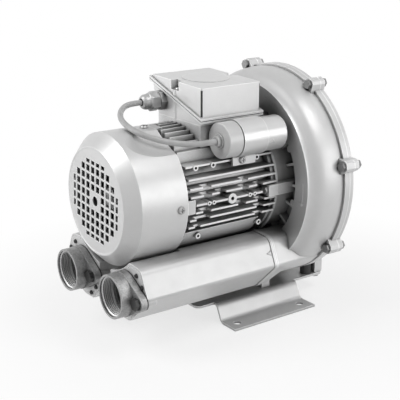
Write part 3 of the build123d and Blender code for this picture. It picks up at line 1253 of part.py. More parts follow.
def make_capacitor():
    """Run capacitor: aluminium can, moulded end cap with its cable nub, and the sheet clamp."""
    with BuildPart() as capacitor_can:
        rod(section(CAP_END, CAP_X, CAP_Z), CAP_R, CAP_END - CAP_FRONT - END_CAP_L - 0.6)
        rear = capacitor_can.faces().sort_by(Axis.Y)[-1]
        fillet(rear.edges(), 2.5)
    save(capacitor_can, "capacitor_can")
    with BuildPart() as capacitor_cap:
        rod(section(CAP_FRONT + END_CAP_L, CAP_X, CAP_Z), CAP_R + 0.5, END_CAP_L)
        front = capacitor_cap.faces().sort_by(Axis.Y)[0]
        fillet(front.edges(), 1.2)
        rod(section(CAP_FRONT + END_CAP_L + 0.6, CAP_X, CAP_Z), CAP_R - 1.0, 1.0)
        rod(section(CAP_FRONT, CAP_X, CAP_Z), 9.0, NUB_STEP)
        rod(section(CAP_FRONT - NUB_STEP, CAP_X, CAP_Z), 6.5, NUB_L)
    save(capacitor_cap, "capacitor_cap")
    outer = CAP_R + SEAT_GAP + CLAMP_T
    with BuildPart() as capacitor_clamp:
        tube(section(CLAMP_Y[1], CAP_X, CAP_Z), outer, CAP_R + SEAT_GAP, CLAMP_Y[1] - CLAMP_Y[0])
        block((CLAMP_X, CLAMP_X + 2 * CLAMP_T), (CLAMP_Y[0], CLAMP_Y[1] - 2), (CLAMP_LOW_Z, CAP_Z - CAP_R - 1))
        rod(sideways(CLAMP_X - 1, CLAMP_SCREW_Y, CLAMP_PAD_Z), M5_R + CLEAR, 10, mode=Mode.SUBTRACT)
        rod(section(CLAMP_Y[1] + 1, CAP_X, CAP_Z), CAP_R + SEAT_GAP, CLAMP_Y[1] - CLAMP_Y[0] + 2,
            mode=Mode.SUBTRACT)
    save(capacitor_clamp, "capacitor_clamp")
    with BuildPart() as clamp_screw:
        pan_screw(sideways(CLAMP_X + 2 * CLAMP_T, CLAMP_SCREW_Y, CLAMP_PAD_Z), M5_R, 4.6, 3.0, 14.0)
    save(clamp_screw, "clamp_screw")


def cable_path():
    """Corner points of the cable's middle line, from the gland's nut to the capacitor's cap."""
    start = (GLAND_X, GLAND_TIP + CABLE_START, AXIS_H + GLAND_Z)
    end = (CAP_X, CAP_FRONT - NUB_STEP - NUB_L, AXIS_H + CAP_Z)
    return [start, *CABLE_BENDS, end]


def corner_radii(points):
    """Bend radius at each inner corner, as large as the shorter neighbouring run allows."""
    radii = []
    for before, at, after in zip(points, points[1:], points[2:]):
        one = Vector(*at) - Vector(*before)
        two = Vector(*after) - Vector(*at)
        turn = radians(one.get_angle(two))
        radii.append(BEND_SHARE * min(one.length, two.length) / tan(turn / 2))
    return radii


def make_cable():
    """Cable between the gland and the capacitor, a tube along a line of straight runs and arcs."""
    points = cable_path()
    radii = corner_radii(points)
    print("cable bend radii:", [round(r, 1) for r in radii])
    with BuildPart() as capacitor_cable:
        with BuildLine() as path:
            FilletPolyline(*points, radius=radii)
        start = Plane(origin=points[0], z_dir=Vector(*points[1]) - Vector(*points[0]))
        with BuildSketch(start) as disc:
            Circle(CABLE_R)
        sweep(disc.sketch, path=path.line)
    print("cable length:", round(sum(edge.length for edge in path.edges()), 1))
    save(capacitor_cable, "capacitor_cable")


os.makedirs("parts", exist_ok=True)
make_base_bracket()
make_bracket_screws()
make_rubber_buffers()
make_casing_front()
make_casing_cover()
make_casing_fasteners()
make_motor_frame()
make_rear_end_shield()
make_motor_screws()
make_fan_cowl()
make_cowl_screws()
make_stator()
make_shaft()
make_rotor_core()
make_keys()
make_impeller()
make_impeller_nut()
make_cooling_fan()
make_bearing("drive", DRIVE_BEARING_Y, "bearing_outer", "bearing_inner", "bearing_balls")
make_bearing("rear", REAR_BEARING_Y, "bearing_outer", "bearing_inner", "bearing_balls")
make_shaft_seal()
for hand, word in ((-1, "left"), (1, "right")):
    make_silencer(hand, word)
    make_silencer_inside(hand, word)
    make_port(hand, word)
make_plate_screws()
make_flange_bolts()
make_terminal_box()
make_lid_screws()
make_terminal_block()
make_gland()
make_capacitor()
make_cable()
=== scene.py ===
import json
import math

import bmesh
import bpy
from mathutils import Matrix, Vector


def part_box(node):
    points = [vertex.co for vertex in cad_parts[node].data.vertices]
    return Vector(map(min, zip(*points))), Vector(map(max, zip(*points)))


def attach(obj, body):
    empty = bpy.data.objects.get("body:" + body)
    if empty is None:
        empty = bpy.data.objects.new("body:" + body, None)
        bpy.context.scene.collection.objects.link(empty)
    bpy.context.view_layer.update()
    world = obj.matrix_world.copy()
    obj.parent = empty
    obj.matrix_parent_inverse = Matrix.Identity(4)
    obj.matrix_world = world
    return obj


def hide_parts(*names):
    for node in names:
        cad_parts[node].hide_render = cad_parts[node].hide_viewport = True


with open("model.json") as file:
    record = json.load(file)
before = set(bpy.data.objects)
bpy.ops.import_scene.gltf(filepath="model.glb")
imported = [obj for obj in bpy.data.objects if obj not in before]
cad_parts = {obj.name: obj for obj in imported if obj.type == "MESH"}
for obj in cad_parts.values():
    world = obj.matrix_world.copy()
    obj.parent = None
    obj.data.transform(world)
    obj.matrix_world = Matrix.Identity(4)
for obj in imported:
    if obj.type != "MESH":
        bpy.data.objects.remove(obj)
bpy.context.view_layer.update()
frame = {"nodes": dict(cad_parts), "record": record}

# All values are in metres and in the frame of the record, unless a comment says otherwise.
AXIS_H = 0.174                 # motor shaft above the floor
PORTS = (("left", -0.0525, 0.0745), ("right", 0.0525, 0.0745))
PORT_FRONT = -0.2246

# Camera, in degrees and in pixels of the photograph
AZIMUTH = 54.32
ELEVATION = 17.02
PHOTO_PX = 400
FOCAL_PX = 917.12
AIM_PX = (188.67, 183.15)      # where the photograph shows the point that is aimed at
AIM = (0, -0.077, AXIS_H)
DISTANCE = 1.14937
SENSOR_MM = 36

# Pipe thread in each port
THREAD_IN = 0.0025             # from the rim to the first turn
THREAD_L = 0.0155
THREAD_PITCH = 0.00231
THREAD_ROOT_R = 0.02388
THREAD_CREST_R = 0.0224
THREAD_STEPS = 72              # in one turn
THREAD_RUNOUT = 24             # steps over which the ridge rises out of the wall, at both ends
THREAD_LEAST = 0.02            # share of its height that the ridge keeps at its ends
THREAD_PROFILE = ((-0.5, 0.0), (-0.12, 1.0), (0.12, 1.0), (0.5, 0.0))    # shares of pitch and depth

# Cable, in millimetres
CABLE_POINTS = ((-32.0, -120.5, 276.8), (-32.0, -141.0, 276.8), (-29.0, -152.0, 274.4),
                (-24.0, -160.0, 269.0), (-14.0, -164.5, 263.0), (4.0, -166.8, 258.6),
                (26.0, -167.5, 255.6), (40.0, -156.0, 249.8), (50.0, -134.6, 243.2),
                (60.0, -111.0, 240.0), (72.0, -98.2, 243.0), (72.0, -88.7, 243.0))
CABLE_R = 3.5
MM = 0.001

# Gland nut and its ring: distance in front of the nut's rear face, then radius
GLAND_X = -0.032
GLAND_Z = 0.2768
NUT_ACROSS = 0.0215
NUT_CORNER = NUT_ACROSS / 2 / math.cos(math.pi / 6)
NUT_ROWS = ((0, 0.0062), (0, NUT_ACROSS / 2 - 0.0002), (0.0012, NUT_CORNER), (0.0110, NUT_CORNER),
            (0.0128, NUT_ACROSS / 2 - 0.0004), (0.0134, 0.0096), (0.0172, 0.0095), (0.0196, 0.0089),
            (0.0216, 0.0077), (0.0228, 0.0062), (0.0231, 0.0052), (0.0226, 0.0046), (0.0205, 0.0046),
            (0.0180, 0.0062))
RING_ROWS = ((0.004, 0.0037), (0.004, 0.0059), (0.0206, 0.0045), (0.0234, 0.0042), (0.0234, 0.0037))
NUT_SHARP = 25                 # degrees; an edge that turns more stays sharp
TURNED_STEPS = 72

# Terminal box: posts of the lid screws on its long walls, and dark strips of painted reflection at the lid's
# right edges
BOX_MIDDLE_Y = -0.050
BOX_HALF_Y = 0.044
POST_X = -0.005
POST_R = 0.005
POST_IN = 0.0034               # from the wall's face in to the post's centre
POST_ARC = (42, 138)           # degrees
POST_FOOT_HALF = 0.0037
POST_FOOT_IN = 0.0028
LID_POST_Z = (0.2866, 0.2928)
BOX_POST_Z = (0.2665, 0.2812)
REFLECTION_X = 0.049
REFLECTION_IN = 0.002
REFLECTION_R = (0.0019, 0.00216)
REFLECTION_HALF_ARC = 36            # degrees
REFLECTION_Z = (0.2684, 0.2998)
ARC_STEPS = 10

# Raised marks on the castings
RIDGE_PROFILE = ((-0.5, -0.5), (-0.42, 0.55), (-0.2, 1.0), (0.2, 1.0), (0.42, 0.55), (0.5, -0.5))
RIDGE_MITRE = 0.35             # a corner is widened to 1 / 0.35 of the line's width at most
FLOW_CORNERS = ((0.0888, -0.0209, 0.0942), (0.0874, -0.0126, 0.0974), (0.0907, -0.0108, 0.0897))
FLOW_NORMAL = (0.9178, 0.3973)
FLOW_LINE = (0.0012, 0.0006)   # width and height
TURN_R = 0.1098
TURN_Y = 0.0160
TURN_FROM = 4.6                # degrees above the shaft's height
TURN_SWEEP = -15.6
TURN_STEPS = 8
TURN_NORMAL = (0.2, -1, 0)
TURN_LINE = (0.0009, 0.0005)
TURN_HEAD = (0.0042, 0.0052)   # reach of the arrow's head to each side and back
TURN_HEAD_LEAN = 0.21

# Stage
FLOOR_HALF = 6.0
FLOOR_DROP = 0.0002
FLOOR_WHITE = ((0.15, 0.72), (0.45, 1.0))    # distance from the middle, and how white it shows there
WORLD_STRENGTH = 0.05
LAMP_AIM = (0, 0, 0.15)
LAMPS = (                      # name, place, size, watts
    ("front_high", (-0.5, -1.5, 1.6), 1.0, 19),
    ("front_left", (-1.2, -1.6, 0.4), 1.0, 12),
    ("right_back", (1.8, 0.9, 0.5), 1.3, 14),
    ("top_right", (1.0, 0.3, 1.8), 0.8, 13),
    ("back", (-0.1, 1.8, 1.0), 1.0, 7),
)


def add_object(name, data):
    """Object made from its data and put in the scene."""
    thing = bpy.data.objects.new(name, data)
    bpy.context.scene.collection.objects.link(thing)
    return thing


def make_camera():
    """Camera at the photograph's angle, distance and lens."""
    azimuth, elevation = math.radians(AZIMUTH), math.radians(ELEVATION)
    right = Vector((math.cos(azimuth), math.sin(azimuth), 0))
    back = Vector((math.sin(azimuth) * math.cos(elevation),
                   -math.cos(azimuth) * math.cos(elevation), math.sin(elevation)))
    up = back.cross(right)
    across = (AIM_PX[0] - PHOTO_PX / 2) / FOCAL_PX * DISTANCE
    upward = (PHOTO_PX / 2 - AIM_PX[1]) / FOCAL_PX * DISTANCE
    place = Vector(AIM) + back * DISTANCE - right * across - up * upward
    data = bpy.data.cameras.new("camera")
    data.sensor_width = SENSOR_MM
    data.lens = FOCAL_PX / PHOTO_PX * SENSOR_MM
    data.clip_start = 0.05
    camera = add_object("camera", data)
    turn = Matrix((right, up, back)).transposed().to_4x4()
    camera.matrix_world = Matrix.Translation(place) @ turn
    bpy.context.scene.camera = camera


class Nodes:
    """Short way to build one node material."""

    def __init__(self, name):
        self.material = bpy.data.materials.new(name)
        self.material.use_nodes = True
        self.tree = self.material.node_tree
        self.shader = self.tree.nodes["Principled BSDF"]
        self.coords = self.add("ShaderNodeTexCoord").outputs["Object"]

    def add(self, kind, **values):
        """New node, with its properties set."""
        node = self.tree.nodes.new(kind)
        for name, value in values.items():
            setattr(node, name, value)
        return node

    def link(self, start, end):
        self.tree.links.new(start, end)

    def noise(self, scale, detail=3.0, rough=0.55, stretch=None):
        """Noise in object space, finer where the scale is larger."""
        node = self.add("ShaderNodeTexNoise")
        node.inputs["Scale"].default_value = scale
        node.inputs["Detail"].default_value = detail
        node.inputs["Roughness"].default_value = rough
        source = self.coords
        if stretch:
            mapping = self.add("ShaderNodeMapping")
            mapping.inputs["Scale"].default_value = stretch
            self.link(source, mapping.inputs["Vector"])
            source = mapping.outputs["Vector"]
        self.link(source, node.inputs["Vector"])
        return node.outputs["Fac"]

    def ramp(self, factor, stops):
        """Greys or colours at their places along a factor."""
        node = self.add("ShaderNodeValToRGB")
        elements = node.color_ramp.elements
        while len(elements) < len(stops):
            elements.new(0.5)
        for element, (at, value) in zip(elements, stops):
            element.position = at
            if not isinstance(value, tuple):
                value = (value, value, value)
            element.color = (*value, 1)
        self.link(factor, node.inputs["Fac"])
        return node.outputs["Color"]

    def blotches(self, scale, low, high, detail=3.0):
        """Values between low and high, spread by noise."""
        return self.ramp(self.noise(scale, detail), ((0.3, low), (0.7, high)))

    def multiply(self, one, two):
        node = self.add("ShaderNodeMix", data_type="RGBA", blend_type="MULTIPLY")
        node.inputs["Factor"].default_value = 1.0
        self.link(one, node.inputs["A"])
        self.link(two, node.inputs["B"])
        return node.outputs["Result"]

    def crevice_shade(self, distance, dark, low=0.25, high=0.85):
        """Painted shade: darker where surfaces meet closely."""
        node = self.add("ShaderNodeAmbientOcclusion", samples=6)
        node.inputs["Distance"].default_value = distance
        return self.ramp(node.outputs["AO"], ((low, dark), (high, 1.0)))

    def edge(self, base, light, distance=0.0012):
        """Painted highlight: lighter along outer edges."""
        near = self.add("ShaderNodeAmbientOcclusion", samples=5, inside=True, only_local=True)
        near.inputs["Distance"].default_value = distance
        mix = self.add("ShaderNodeMix", data_type="RGBA")
        self.link(self.ramp(near.outputs["AO"], ((0.55, 1.0), (0.92, 0.0))), mix.inputs["Factor"])
        self.link(base, mix.inputs["A"])
        mix.inputs["B"].default_value = (light, light, light, 1)
        return mix.outputs["Result"]

    def bump(self, height, strength, distance, radius=0.0):
        """Bumps from a height, over edges that are rounded where a radius is given."""
        node = self.add("ShaderNodeBump")
        node.inputs["Strength"].default_value = strength
        node.inputs["Distance"].default_value = distance
        self.link(height, node.inputs["Height"])
        if radius:
            edge = self.add("ShaderNodeBevel", samples=4)
            edge.inputs["Radius"].default_value = radius
            self.link(edge.outputs["Normal"], node.inputs["Normal"])
        self.link(node.outputs["Normal"], self.shader.inputs["Normal"])

    def set(self, **values):
        """Uniform numbers of the shader."""
        for name, value in values.items():
            self.shader.inputs[name.replace("_", " ")].default_value = value

    def colour(self, socket):
        self.link(socket, self.shader.inputs["Base Color"])

    def rough(self, socket):
        self.link(socket, self.shader.inputs["Roughness"])


def silver_paint(name, tone, rough=0.4, metal=0.35, grain=900.0, radius=0.0006, bump=0.25, deep=0.3,
                 near=0.35):
    """Silver paint: fine flakes, a faint orange-peel surface, painted shade in corners and deep places and a
    painted highlight along outer edges.
    """
    n = Nodes(name)
    flakes = n.blotches(2600.0, 0.93, 1.0, 1.0)
    cloud = n.blotches(14.0, 0.95, 1.0)
    base = n.blotches(60.0, tone * 0.97, tone, 2.0)
    mixed = n.multiply(n.multiply(base, flakes), cloud)
    # Painted shade: darker in close corners and in deep places; near and deep set how dark it gets.
    painted_shade = n.multiply(n.crevice_shade(0.005, near), n.crevice_shade(0.05, deep, 0.1, 0.6))
    # Painted highlight: lighter along outer edges.
    n.colour(n.multiply(n.edge(mixed, min(0.92, tone * 1.35)), painted_shade))
    n.rough(n.ramp(n.noise(90.0, 3.0), ((0.25, rough - 0.04), (0.75, rough + 0.05))))
    n.set(Metallic=metal)
    n.bump(n.noise(grain, 2.0), bump, 0.00012, radius)
    return n.material


def raw_casting(name, tone):
    """Sand-cast metal without paint: blotchy, pitted and dull."""
    n = Nodes(name)
    blot = n.ramp(n.noise(45.0, 5.0, 0.65), ((0.25, tone * 0.62), (0.5, tone), (0.75, tone * 1.35)))
    pits = n.ramp(n.noise(520.0, 3.0, 0.7), ((0.35, 0.72), (0.6, 1.0)))
    # Painted shade in close corners.
    n.colour(n.multiply(n.multiply(blot, pits), n.crevice_shade(0.005, 0.5)))
    n.rough(n.blotches(200.0, 0.42, 0.62))
    n.set(Metallic=0.75)
    n.bump(n.noise(420.0, 4.0, 0.7), 0.7, 0.0003, 0.0007)
    return n.material


def turned_metal(name, tone, rough=0.28, metal=0.95, stretch=(1, 90, 1), tint=(1, 1, 1)):
    """Machined or plated metal with fine tool marks."""
    n = Nodes(name)
    marks = n.noise(60.0, 3.0, 0.6, stretch)
    low = tuple(tone * 0.82 * t for t in tint)
    high = tuple(tone * t for t in tint)
    # Painted shade in close corners.
    n.colour(n.multiply(n.ramp(marks, ((0.3, low), (0.7, high))), n.crevice_shade(0.003, 0.6)))
    n.rough(n.blotches(150.0, rough - 0.06, rough + 0.08))
    n.set(Metallic=metal)
    n.bump(marks, 0.18, 0.00008, 0.0003)
    return n.material


def moulded(name, tone, rough=0.5):
    """Moulded plastic or rubber with a fine grain."""
    n = Nodes(name)
    # Painted shade in close corners.
    n.colour(n.multiply(n.blotches(80.0, tone * 0.86, tone * 1.06, 4.0), n.crevice_shade(0.003, 0.7)))
    n.rough(n.blotches(130.0, rough - 0.06, rough + 0.08))
    n.bump(n.noise(700.0), 0.3, 0.0001, 0.0004)
    return n.material


def laminated(name):
    """Stacked sheet edges along the shaft."""
    n = Nodes(name)
    bands = n.add("ShaderNodeTexWave", wave_type="BANDS", bands_direction="Y")
    bands.inputs["Scale"].default_value = 300.0
    n.link(n.coords, bands.inputs["Vector"])
    n.colour(n.multiply(n.ramp(bands.outputs["Fac"], ((0.3, 0.16), (0.7, 0.32))),
                        n.blotches(70.0, 0.8, 1.0, 4.0)))
    n.rough(n.blotches(90.0, 0.42, 0.58))
    n.set(Metallic=0.8)
    n.bump(bands.outputs["Fac"], 0.4, 0.0002)
    return n.material


def wound_copper(name):
    """Varnished wire heads."""
    n = Nodes(name)
    bands = n.add("ShaderNodeTexWave", wave_type="RINGS", rings_direction="Y")
    bands.inputs["Scale"].default_value = 160.0
    bands.inputs["Distortion"].default_value = 3.0
    n.link(n.coords, bands.inputs["Vector"])
    n.colour(n.ramp(bands.outputs["Fac"], ((0.2, (0.24, 0.08, 0.03)), (0.8, (0.62, 0.27, 0.12)))))
    n.rough(n.blotches(90.0, 0.25, 0.4))
    n.set(Metallic=0.8)
    n.bump(bands.outputs["Fac"], 0.6, 0.0004)
    return n.material


def open_foam(name):
    """Dark open-cell absorber."""
    n = Nodes(name)
    cells = n.add("ShaderNodeTexVoronoi")
    cells.inputs["Scale"].default_value = 900.0
    n.link(n.coords, cells.inputs["Vector"])
    n.colour(n.ramp(cells.outputs["Distance"], ((0.1, 0.012), (0.7, 0.07))))
    n.rough(n.blotches(90.0, 0.85, 1.0))
    n.bump(cells.outputs["Distance"], 0.8, 0.0006)
    return n.material


MATERIALS = {
    "cast_paint": silver_paint("cast_paint_silver", 0.64),
    "cowl_paint": silver_paint("cowl_paint_silver", 0.66, rough=0.38, metal=0.36, grain=600.0, bump=0.15,
                               deep=0.8),
    "bracket_paint": silver_paint("bracket_paint_silver", 0.62, grain=700.0, radius=0.0005, bump=0.15),
    "raw_cast": raw_casting("raw_cast_metal", 0.34),
    "zinc": turned_metal("zinc_plate", 0.42, rough=0.34, metal=0.85),
    "black_steel": turned_metal("black_steel_finish", 0.035, rough=0.38, metal=0.4),
    "rubber": moulded("rubber_black", 0.028, rough=0.62),
    "steel": turned_metal("ground_steel", 0.56, rough=0.22, metal=1.0),
    "laminations": laminated("lamination_stack"),
    "copper": wound_copper("copper_heads"),
    "impeller_metal": turned_metal("impeller_turned", 0.6, rough=0.32, metal=0.9, stretch=(1, 30, 1)),
    "black_plastic": moulded("plastic_black", 0.018, rough=0.45),
    "brass": turned_metal("brass_turned", 0.8, rough=0.3, metal=1.0, stretch=(40, 40, 1),
                          tint=(1.0, 0.78, 0.42)),
    "gland_metal": silver_paint("gland_nickel", 0.5, rough=0.36, metal=0.45, grain=500.0, radius=0.0005,
                                bump=0.05, deep=0.6),
    "cap_can": silver_paint("can_drawn", 0.66, rough=0.3, metal=0.45, grain=500.0, radius=0.0004,
                            bump=0.06, deep=0.8),
    "cap_plastic": silver_paint("cap_grey", 0.62, rough=0.36, metal=0.15, grain=700.0, radius=0.0005,
                                bump=0.08, deep=0.7),
    "cable_sheath": moulded("cable_grey", 0.5, rough=0.4),
    "foam": open_foam("foam_dark"),
}

# Copies of the silver paint, each with its own tone, gloss and strength of painted shade.
BOX_PAINT = silver_paint("box_paint_silver", 0.72, rough=0.36, metal=0.3, grain=700.0, radius=0.0005,
                         bump=0.12, deep=0.75, near=0.2)
DUCT_PAINT = silver_paint("duct_paint_silver", 0.6, rough=0.38, bump=0.2, deep=0.6)
DULL_ZINC = turned_metal("bolt_zinc_dull", 0.24, rough=0.36, metal=0.8)
SPECIAL = {
    "terminal_box_lid": BOX_PAINT,
    "terminal_box_base": BOX_PAINT,
    "silencer_left": DUCT_PAINT,
    "silencer_right": DUCT_PAINT,
    "casing_bolts": DULL_ZINC,
    "casing_nuts": DULL_ZINC,
    "plate_screws": MATERIALS["black_steel"],
    # Frame paint with strong painted shade in close corners, holes and deep places.
    "motor_frame": silver_paint("frame_paint_silver", 0.76, rough=0.36, metal=0.4, radius=0.0005, bump=0.2,
                                deep=0.2, near=0.1),
    "capacitor_clamp": silver_paint("clamp_paint_silver", 0.66, rough=0.32, metal=0.45, grain=500.0,
                                    radius=0.0004, bump=0.06, deep=0.8),
}


def dress_nodes():
    """Give every carried-over solid its material."""
    for entry in frame["record"]["subparts"]:
        solid = frame["nodes"][entry["node"]]
        if not solid.material_slots:
            solid.data.materials.append(None)
        for slot in solid.material_slots:
            slot.material = SPECIAL.get(entry["node"], MATERIALS[entry["material_slot"]])


def piece(name, mesh, slot, body="blower_body", smooth=True, material=None):
    """Object from a bmesh, riding on a body."""
    data = bpy.data.meshes.new(name)
    mesh.to_mesh(data)
    mesh.free()
    thing = add_object(name, data)
    data.materials.append(material or MATERIALS[slot])
    if smooth:
        for polygon in data.polygons:
            polygon.use_smooth = True
    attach(thing, body)
    return thing


def thread(x, z):
    """Helical ridge of a port's thread along Y, standing on the wall of the bore."""
    mesh = bmesh.new()
    last = THREAD_L / THREAD_PITCH * THREAD_STEPS
    rows = []
    for step in range(int(last) + 1):
        angle = step / THREAD_STEPS * 2 * math.pi
        y = PORT_FRONT + THREAD_IN + step / THREAD_STEPS * THREAD_PITCH
        fade = min(1.0, step / THREAD_RUNOUT, (last - step) / THREAD_RUNOUT + THREAD_LEAST)
        row = []
        for along, rise in THREAD_PROFILE:
            radius = THREAD_ROOT_R + (THREAD_CREST_R - THREAD_ROOT_R) * rise * max(fade, THREAD_LEAST)
            row.append(mesh.verts.new((x + radius * math.cos(angle), y + along * THREAD_PITCH,
                                       z + radius * math.sin(angle))))
        rows.append(row)
    for one, two in zip(rows, rows[1:]):
        for i in range(len(THREAD_PROFILE) - 1):
            mesh.faces.new((one[i], one[i + 1], two[i + 1], two[i]))
    return mesh


def make_port_threads():
    """Pipe threads in both ports."""
    cut = turned_metal("thread_cut", 0.66, rough=0.36, metal=0.6)
    for name, x, z in PORTS:
        piece(f"port_thread_{name}", thread(x, z), "raw_cast", smooth=False, material=cut)


def make_cable():
    """Cable from the gland to the capacitor as one smooth line."""
    curve = bpy.data.curves.new("capacitor_cable_line", "CURVE")
    curve.dimensions = "3D"
    spline = curve.splines.new("NURBS")
    spline.points.add(len(CABLE_POINTS) - 1)
    for point, place in zip(spline.points, CABLE_POINTS):
        point.co = (*(MM * v for v in place), 1)
    spline.order_u = 3
    spline.use_endpoint_u = True
    spline.resolution_u = 12
    curve.bevel_depth = MM * CABLE_R
    curve.bevel_resolution = 6
    curve.use_fill_caps = True
    cable = add_object("cable_line", curve)
    curve.materials.append(MATERIALS["cable_sheath"])
    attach(cable, "blower_body")
    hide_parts("capacitor_cable")


def turned(rows, x, z, flats=0.0):
    """Mesh turned about a line along Y; flats, where given, is the width of the hexagon that cuts it."""
    mesh = bmesh.new()
    rings = []
    for y, radius in rows:
        ring = []
        for step in range(TURNED_STEPS):
            angle = step / TURNED_STEPS * 2 * math.pi
            reach = radius
            if flats:
                from_flat = (angle + math.pi / 6) % (math.pi / 3) - math.pi / 6
                reach = min(radius, flats / 2 / math.cos(from_flat))
            ring.append(mesh.verts.new((x + reach * math.cos(angle), y, z + reach * math.sin(angle))))
        rings.append(ring)
    for one, two in zip(rings, rings[1:] + rings[:1]):
        for step in range(TURNED_STEPS):
            after = (step + 1) % TURNED_STEPS
            mesh.faces.new((one[step], one[after], two[after], two[step]))
    bmesh.ops.recalc_face_normals(mesh, faces=mesh.faces)
    return mesh


def make_gland():
    """Domed gland nut with chamfered flats and its rubber ring, in place of the plain ones."""
    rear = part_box("gland_nut")[1][1]
    nut_rows = [(rear - ahead, radius) for ahead, radius in NUT_ROWS]
    nut = piece("gland_dome_nut", turned(nut_rows, GLAND_X, GLAND_Z, NUT_ACROSS), "gland_metal", smooth=False)
    nut.data.shade_smooth()
    nut.data.set_sharp_from_angle(angle=math.radians(NUT_SHARP))
    ring_rows = [(rear - ahead, radius) for ahead, radius in RING_ROWS]
    ring = piece("gland_ring", turned(ring_rows, GLAND_X, GLAND_Z), "rubber")
    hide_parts("gland_nut")
    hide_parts("gland_seal")


def ridge(points, normal, width, height, close=True):
    """Raised line of rounded section along points on a flat or gently bent surface."""
    mesh = bmesh.new()
    normal = Vector(normal).normalized()
    count = len(points)
    rows = []
    for i, point in enumerate(points):
        point = Vector(point)
        before = Vector(points[i - 1]) if close or i else point
        after = Vector(points[(i + 1) % count]) if close or i + 1 < count else point
        one = (point - before).normalized() if (point - before).length else (after - point).normalized()
        two = (after - point).normalized() if (after - point).length else one
        side = normal.cross((one + two).normalized())
        side /= max(RIDGE_MITRE, side.dot(normal.cross(one)))
        row = []
        for across, up in RIDGE_PROFILE:
            row.append(mesh.verts.new(point + side * across * width + normal * up * height))
        rows.append(row)
    for one, two in zip(rows, rows[1:] + rows[:1] if close else rows[1:]):
        for i in range(len(RIDGE_PROFILE) - 1):
            mesh.faces.new((one[i], one[i + 1], two[i + 1], two[i]))
    if not close:
        mesh.faces.new(rows[0])
        mesh.faces.new(rows[-1][::-1])
    bmesh.ops.recalc_face_normals(mesh, faces=mesh.faces)
    return mesh


def make_arrows():
    """Raised flow triangle on each silencer by its seam, and a turning arrow on the casing's rim."""
    # Dark grey on the raised flow triangles is painted shade along their lines.
    paint = silver_paint("mark_shade_grey", 0.34)
    for name, side in (("left", -1), ("right", 1)):
        corners = [(side * x, y, z) for x, y, z in FLOW_CORNERS]
        normal = (side * FLOW_NORMAL[0], 0, FLOW_NORMAL[1])
        piece(f"flow_mark_{name}", ridge(corners, normal, *FLOW_LINE), "cast_paint", material=paint)
    arc = []
    for step in range(TURN_STEPS + 1):
        turn = math.radians(TURN_FROM + TURN_SWEEP * step / TURN_STEPS)
        arc.append((TURN_R * math.cos(turn), TURN_Y, AXIS_H + TURN_R * math.sin(turn)))
    piece("turn_mark_line", ridge(arc, TURN_NORMAL, *TURN_LINE, close=False), "cast_paint")
    tip = Vector(arc[-1])
    out, back = TURN_HEAD
    for name, way in (("in", -out), ("out", out)):
        start = tip + Vector((way, -way * TURN_HEAD_LEAN, back))
        piece(f"turn_mark_{name}", ridge((start, tip), TURN_NORMAL, *TURN_LINE, close=False), "cast_paint")


def prism(outline, low, high):
    """Mesh of a flat outline in X and Y, raised from one height to another."""
    mesh = bmesh.new()
    foot = [mesh.verts.new((x, y, low)) for x, y in outline]
    head = [mesh.verts.new((x, y, high)) for x, y in outline]
    count = len(outline)
    for i in range(count):
        after = (i + 1) % count
        mesh.faces.new((foot[i], foot[after], head[after], head[i]))
    mesh.faces.new(foot[::-1])
    mesh.faces.new(head)
    bmesh.ops.recalc_face_normals(mesh, faces=mesh.faces)
    return mesh


def arc_points(x, y, radius, start, end):
    """Points of an arc about a place, angles in degrees."""
    angles = [math.radians(start + (end - start) * i / ARC_STEPS) for i in range(ARC_STEPS + 1)]
    return [(x + radius * math.cos(a), y + radius * math.sin(a)) for a in angles]


def make_box_details():
    """Screw posts that show on the long walls of the terminal box, and dark strips of painted reflection on
    the lid's rounded edges.
    """
    corner_reflection = moulded("corner_reflection_dark", 0.02)
    for name, side in (("front", -1), ("rear", 1)):
        wall = BOX_MIDDLE_Y + side * BOX_HALF_Y
        start, end = (side * angle for angle in POST_ARC)
        post = arc_points(POST_X, wall - side * POST_IN, POST_R, start, end)
        foot_y = wall - side * POST_FOOT_IN
        post += [(POST_X - POST_FOOT_HALF, foot_y), (POST_X + POST_FOOT_HALF, foot_y)]
        for place, heights in (("lid", LID_POST_Z), ("box", BOX_POST_Z)):
            piece(f"{place}_post_{name}", prism(post, *heights), "cast_paint", smooth=False,
                  material=BOX_PAINT)
        # Painted reflection: dark strips on the lid's rounded right edges.
        corner_y = wall - side * REFLECTION_IN
        low, high = 45 * side - REFLECTION_HALF_ARC, 45 * side + REFLECTION_HALF_ARC
        outline = (arc_points(REFLECTION_X, corner_y, REFLECTION_R[1], low, high)
                   + arc_points(REFLECTION_X, corner_y, REFLECTION_R[0], high, low))
        piece(f"lid_corner_reflection_{name}", prism(outline, *REFLECTION_Z), "cast_paint", smooth=False, material=corner_reflection)


def seen_white(tree):
    """One for rays that see the backdrop straight, in gloss or through glass."""
    paths = tree.nodes.new("ShaderNodeLightPath")
    seen = paths.outputs["Is Camera Ray"]
    for ray in ("Is Glossy Ray", "Is Transmission Ray"):
        either = tree.nodes.new("ShaderNodeMath")
        either.operation = "MAXIMUM"
        tree.links.new(seen, either.inputs[0])
        tree.links.new(paths.outputs[ray], either.inputs[1])
        seen = either.outputs[0]
    return seen


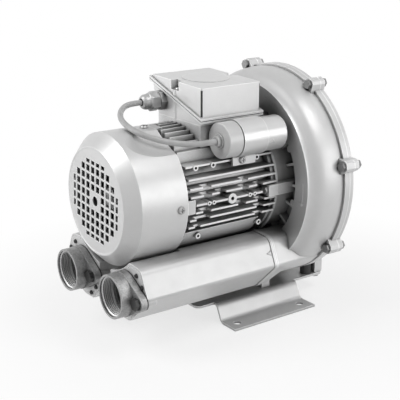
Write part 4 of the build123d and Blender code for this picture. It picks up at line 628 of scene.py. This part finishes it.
def make_floor():
    """Pale floor that keeps the object's shadow near it and fades to white further out."""
    mesh = bmesh.new()
    bmesh.ops.create_grid(mesh, x_segments=1, y_segments=1, size=FLOOR_HALF)
    data = bpy.data.meshes.new("floor")
    mesh.to_mesh(data)
    mesh.free()
    floor = add_object("floor", data)
    floor.location = (0, 0, -FLOOR_DROP)
    n = Nodes("floor_pale")
    n.colour(n.blotches(6.0, 0.93, 0.95))
    n.rough(n.blotches(9.0, 0.8, 0.9))
    far = n.add("ShaderNodeVectorMath", operation="LENGTH")
    n.link(n.coords, far.inputs[0])
    share = n.ramp(far.outputs["Value"], FLOOR_WHITE)
    white = n.add("ShaderNodeEmission")
    white.inputs["Color"].default_value = (1, 1, 1, 1)
    amount = n.add("ShaderNodeMath", operation="MULTIPLY")
    n.link(share, amount.inputs[0])
    n.link(seen_white(n.tree), amount.inputs[1])
    mix = n.add("ShaderNodeMixShader")
    n.link(amount.outputs[0], mix.inputs["Fac"])
    n.link(n.shader.outputs[0], mix.inputs[1])
    n.link(white.outputs[0], mix.inputs[2])
    n.link(mix.outputs[0], n.tree.nodes["Material Output"].inputs["Surface"])
    data.materials.append(n.material)


def make_world():
    """World that shows white and lights the object softly."""
    world = bpy.data.worlds.new("studio")
    bpy.context.scene.world = world
    world.use_nodes = True
    tree = world.node_tree
    tree.nodes.clear()
    out = tree.nodes.new("ShaderNodeOutputWorld")
    mix = tree.nodes.new("ShaderNodeMixShader")
    tree.links.new(seen_white(tree), mix.inputs["Fac"])
    for socket, strength in ((1, WORLD_STRENGTH), (2, 1.0)):
        light = tree.nodes.new("ShaderNodeBackground")
        light.inputs["Color"].default_value = (1, 1, 1, 1)
        light.inputs["Strength"].default_value = strength
        tree.links.new(light.outputs[0], mix.inputs[socket])
    tree.links.new(mix.outputs[0], out.inputs["Surface"])


def make_lamp(name, place, size, watts):
    """Square soft light that looks at the object."""
    data = bpy.data.lights.new(name, "AREA")
    data.shape = "SQUARE"
    data.size = size
    data.energy = watts
    thing = add_object(name, data)
    thing.location = place
    way = Vector(LAMP_AIM) - Vector(place)
    thing.rotation_euler = way.to_track_quat("-Z", "Y").to_euler()


make_camera()
dress_nodes()
make_port_threads()
make_cable()
make_gland()
make_box_details()
make_arrows()
make_floor()
make_world()
for lamp in LAMPS:
    make_lamp(*lamp)
bpy.context.scene.view_settings.view_transform = "Standard"
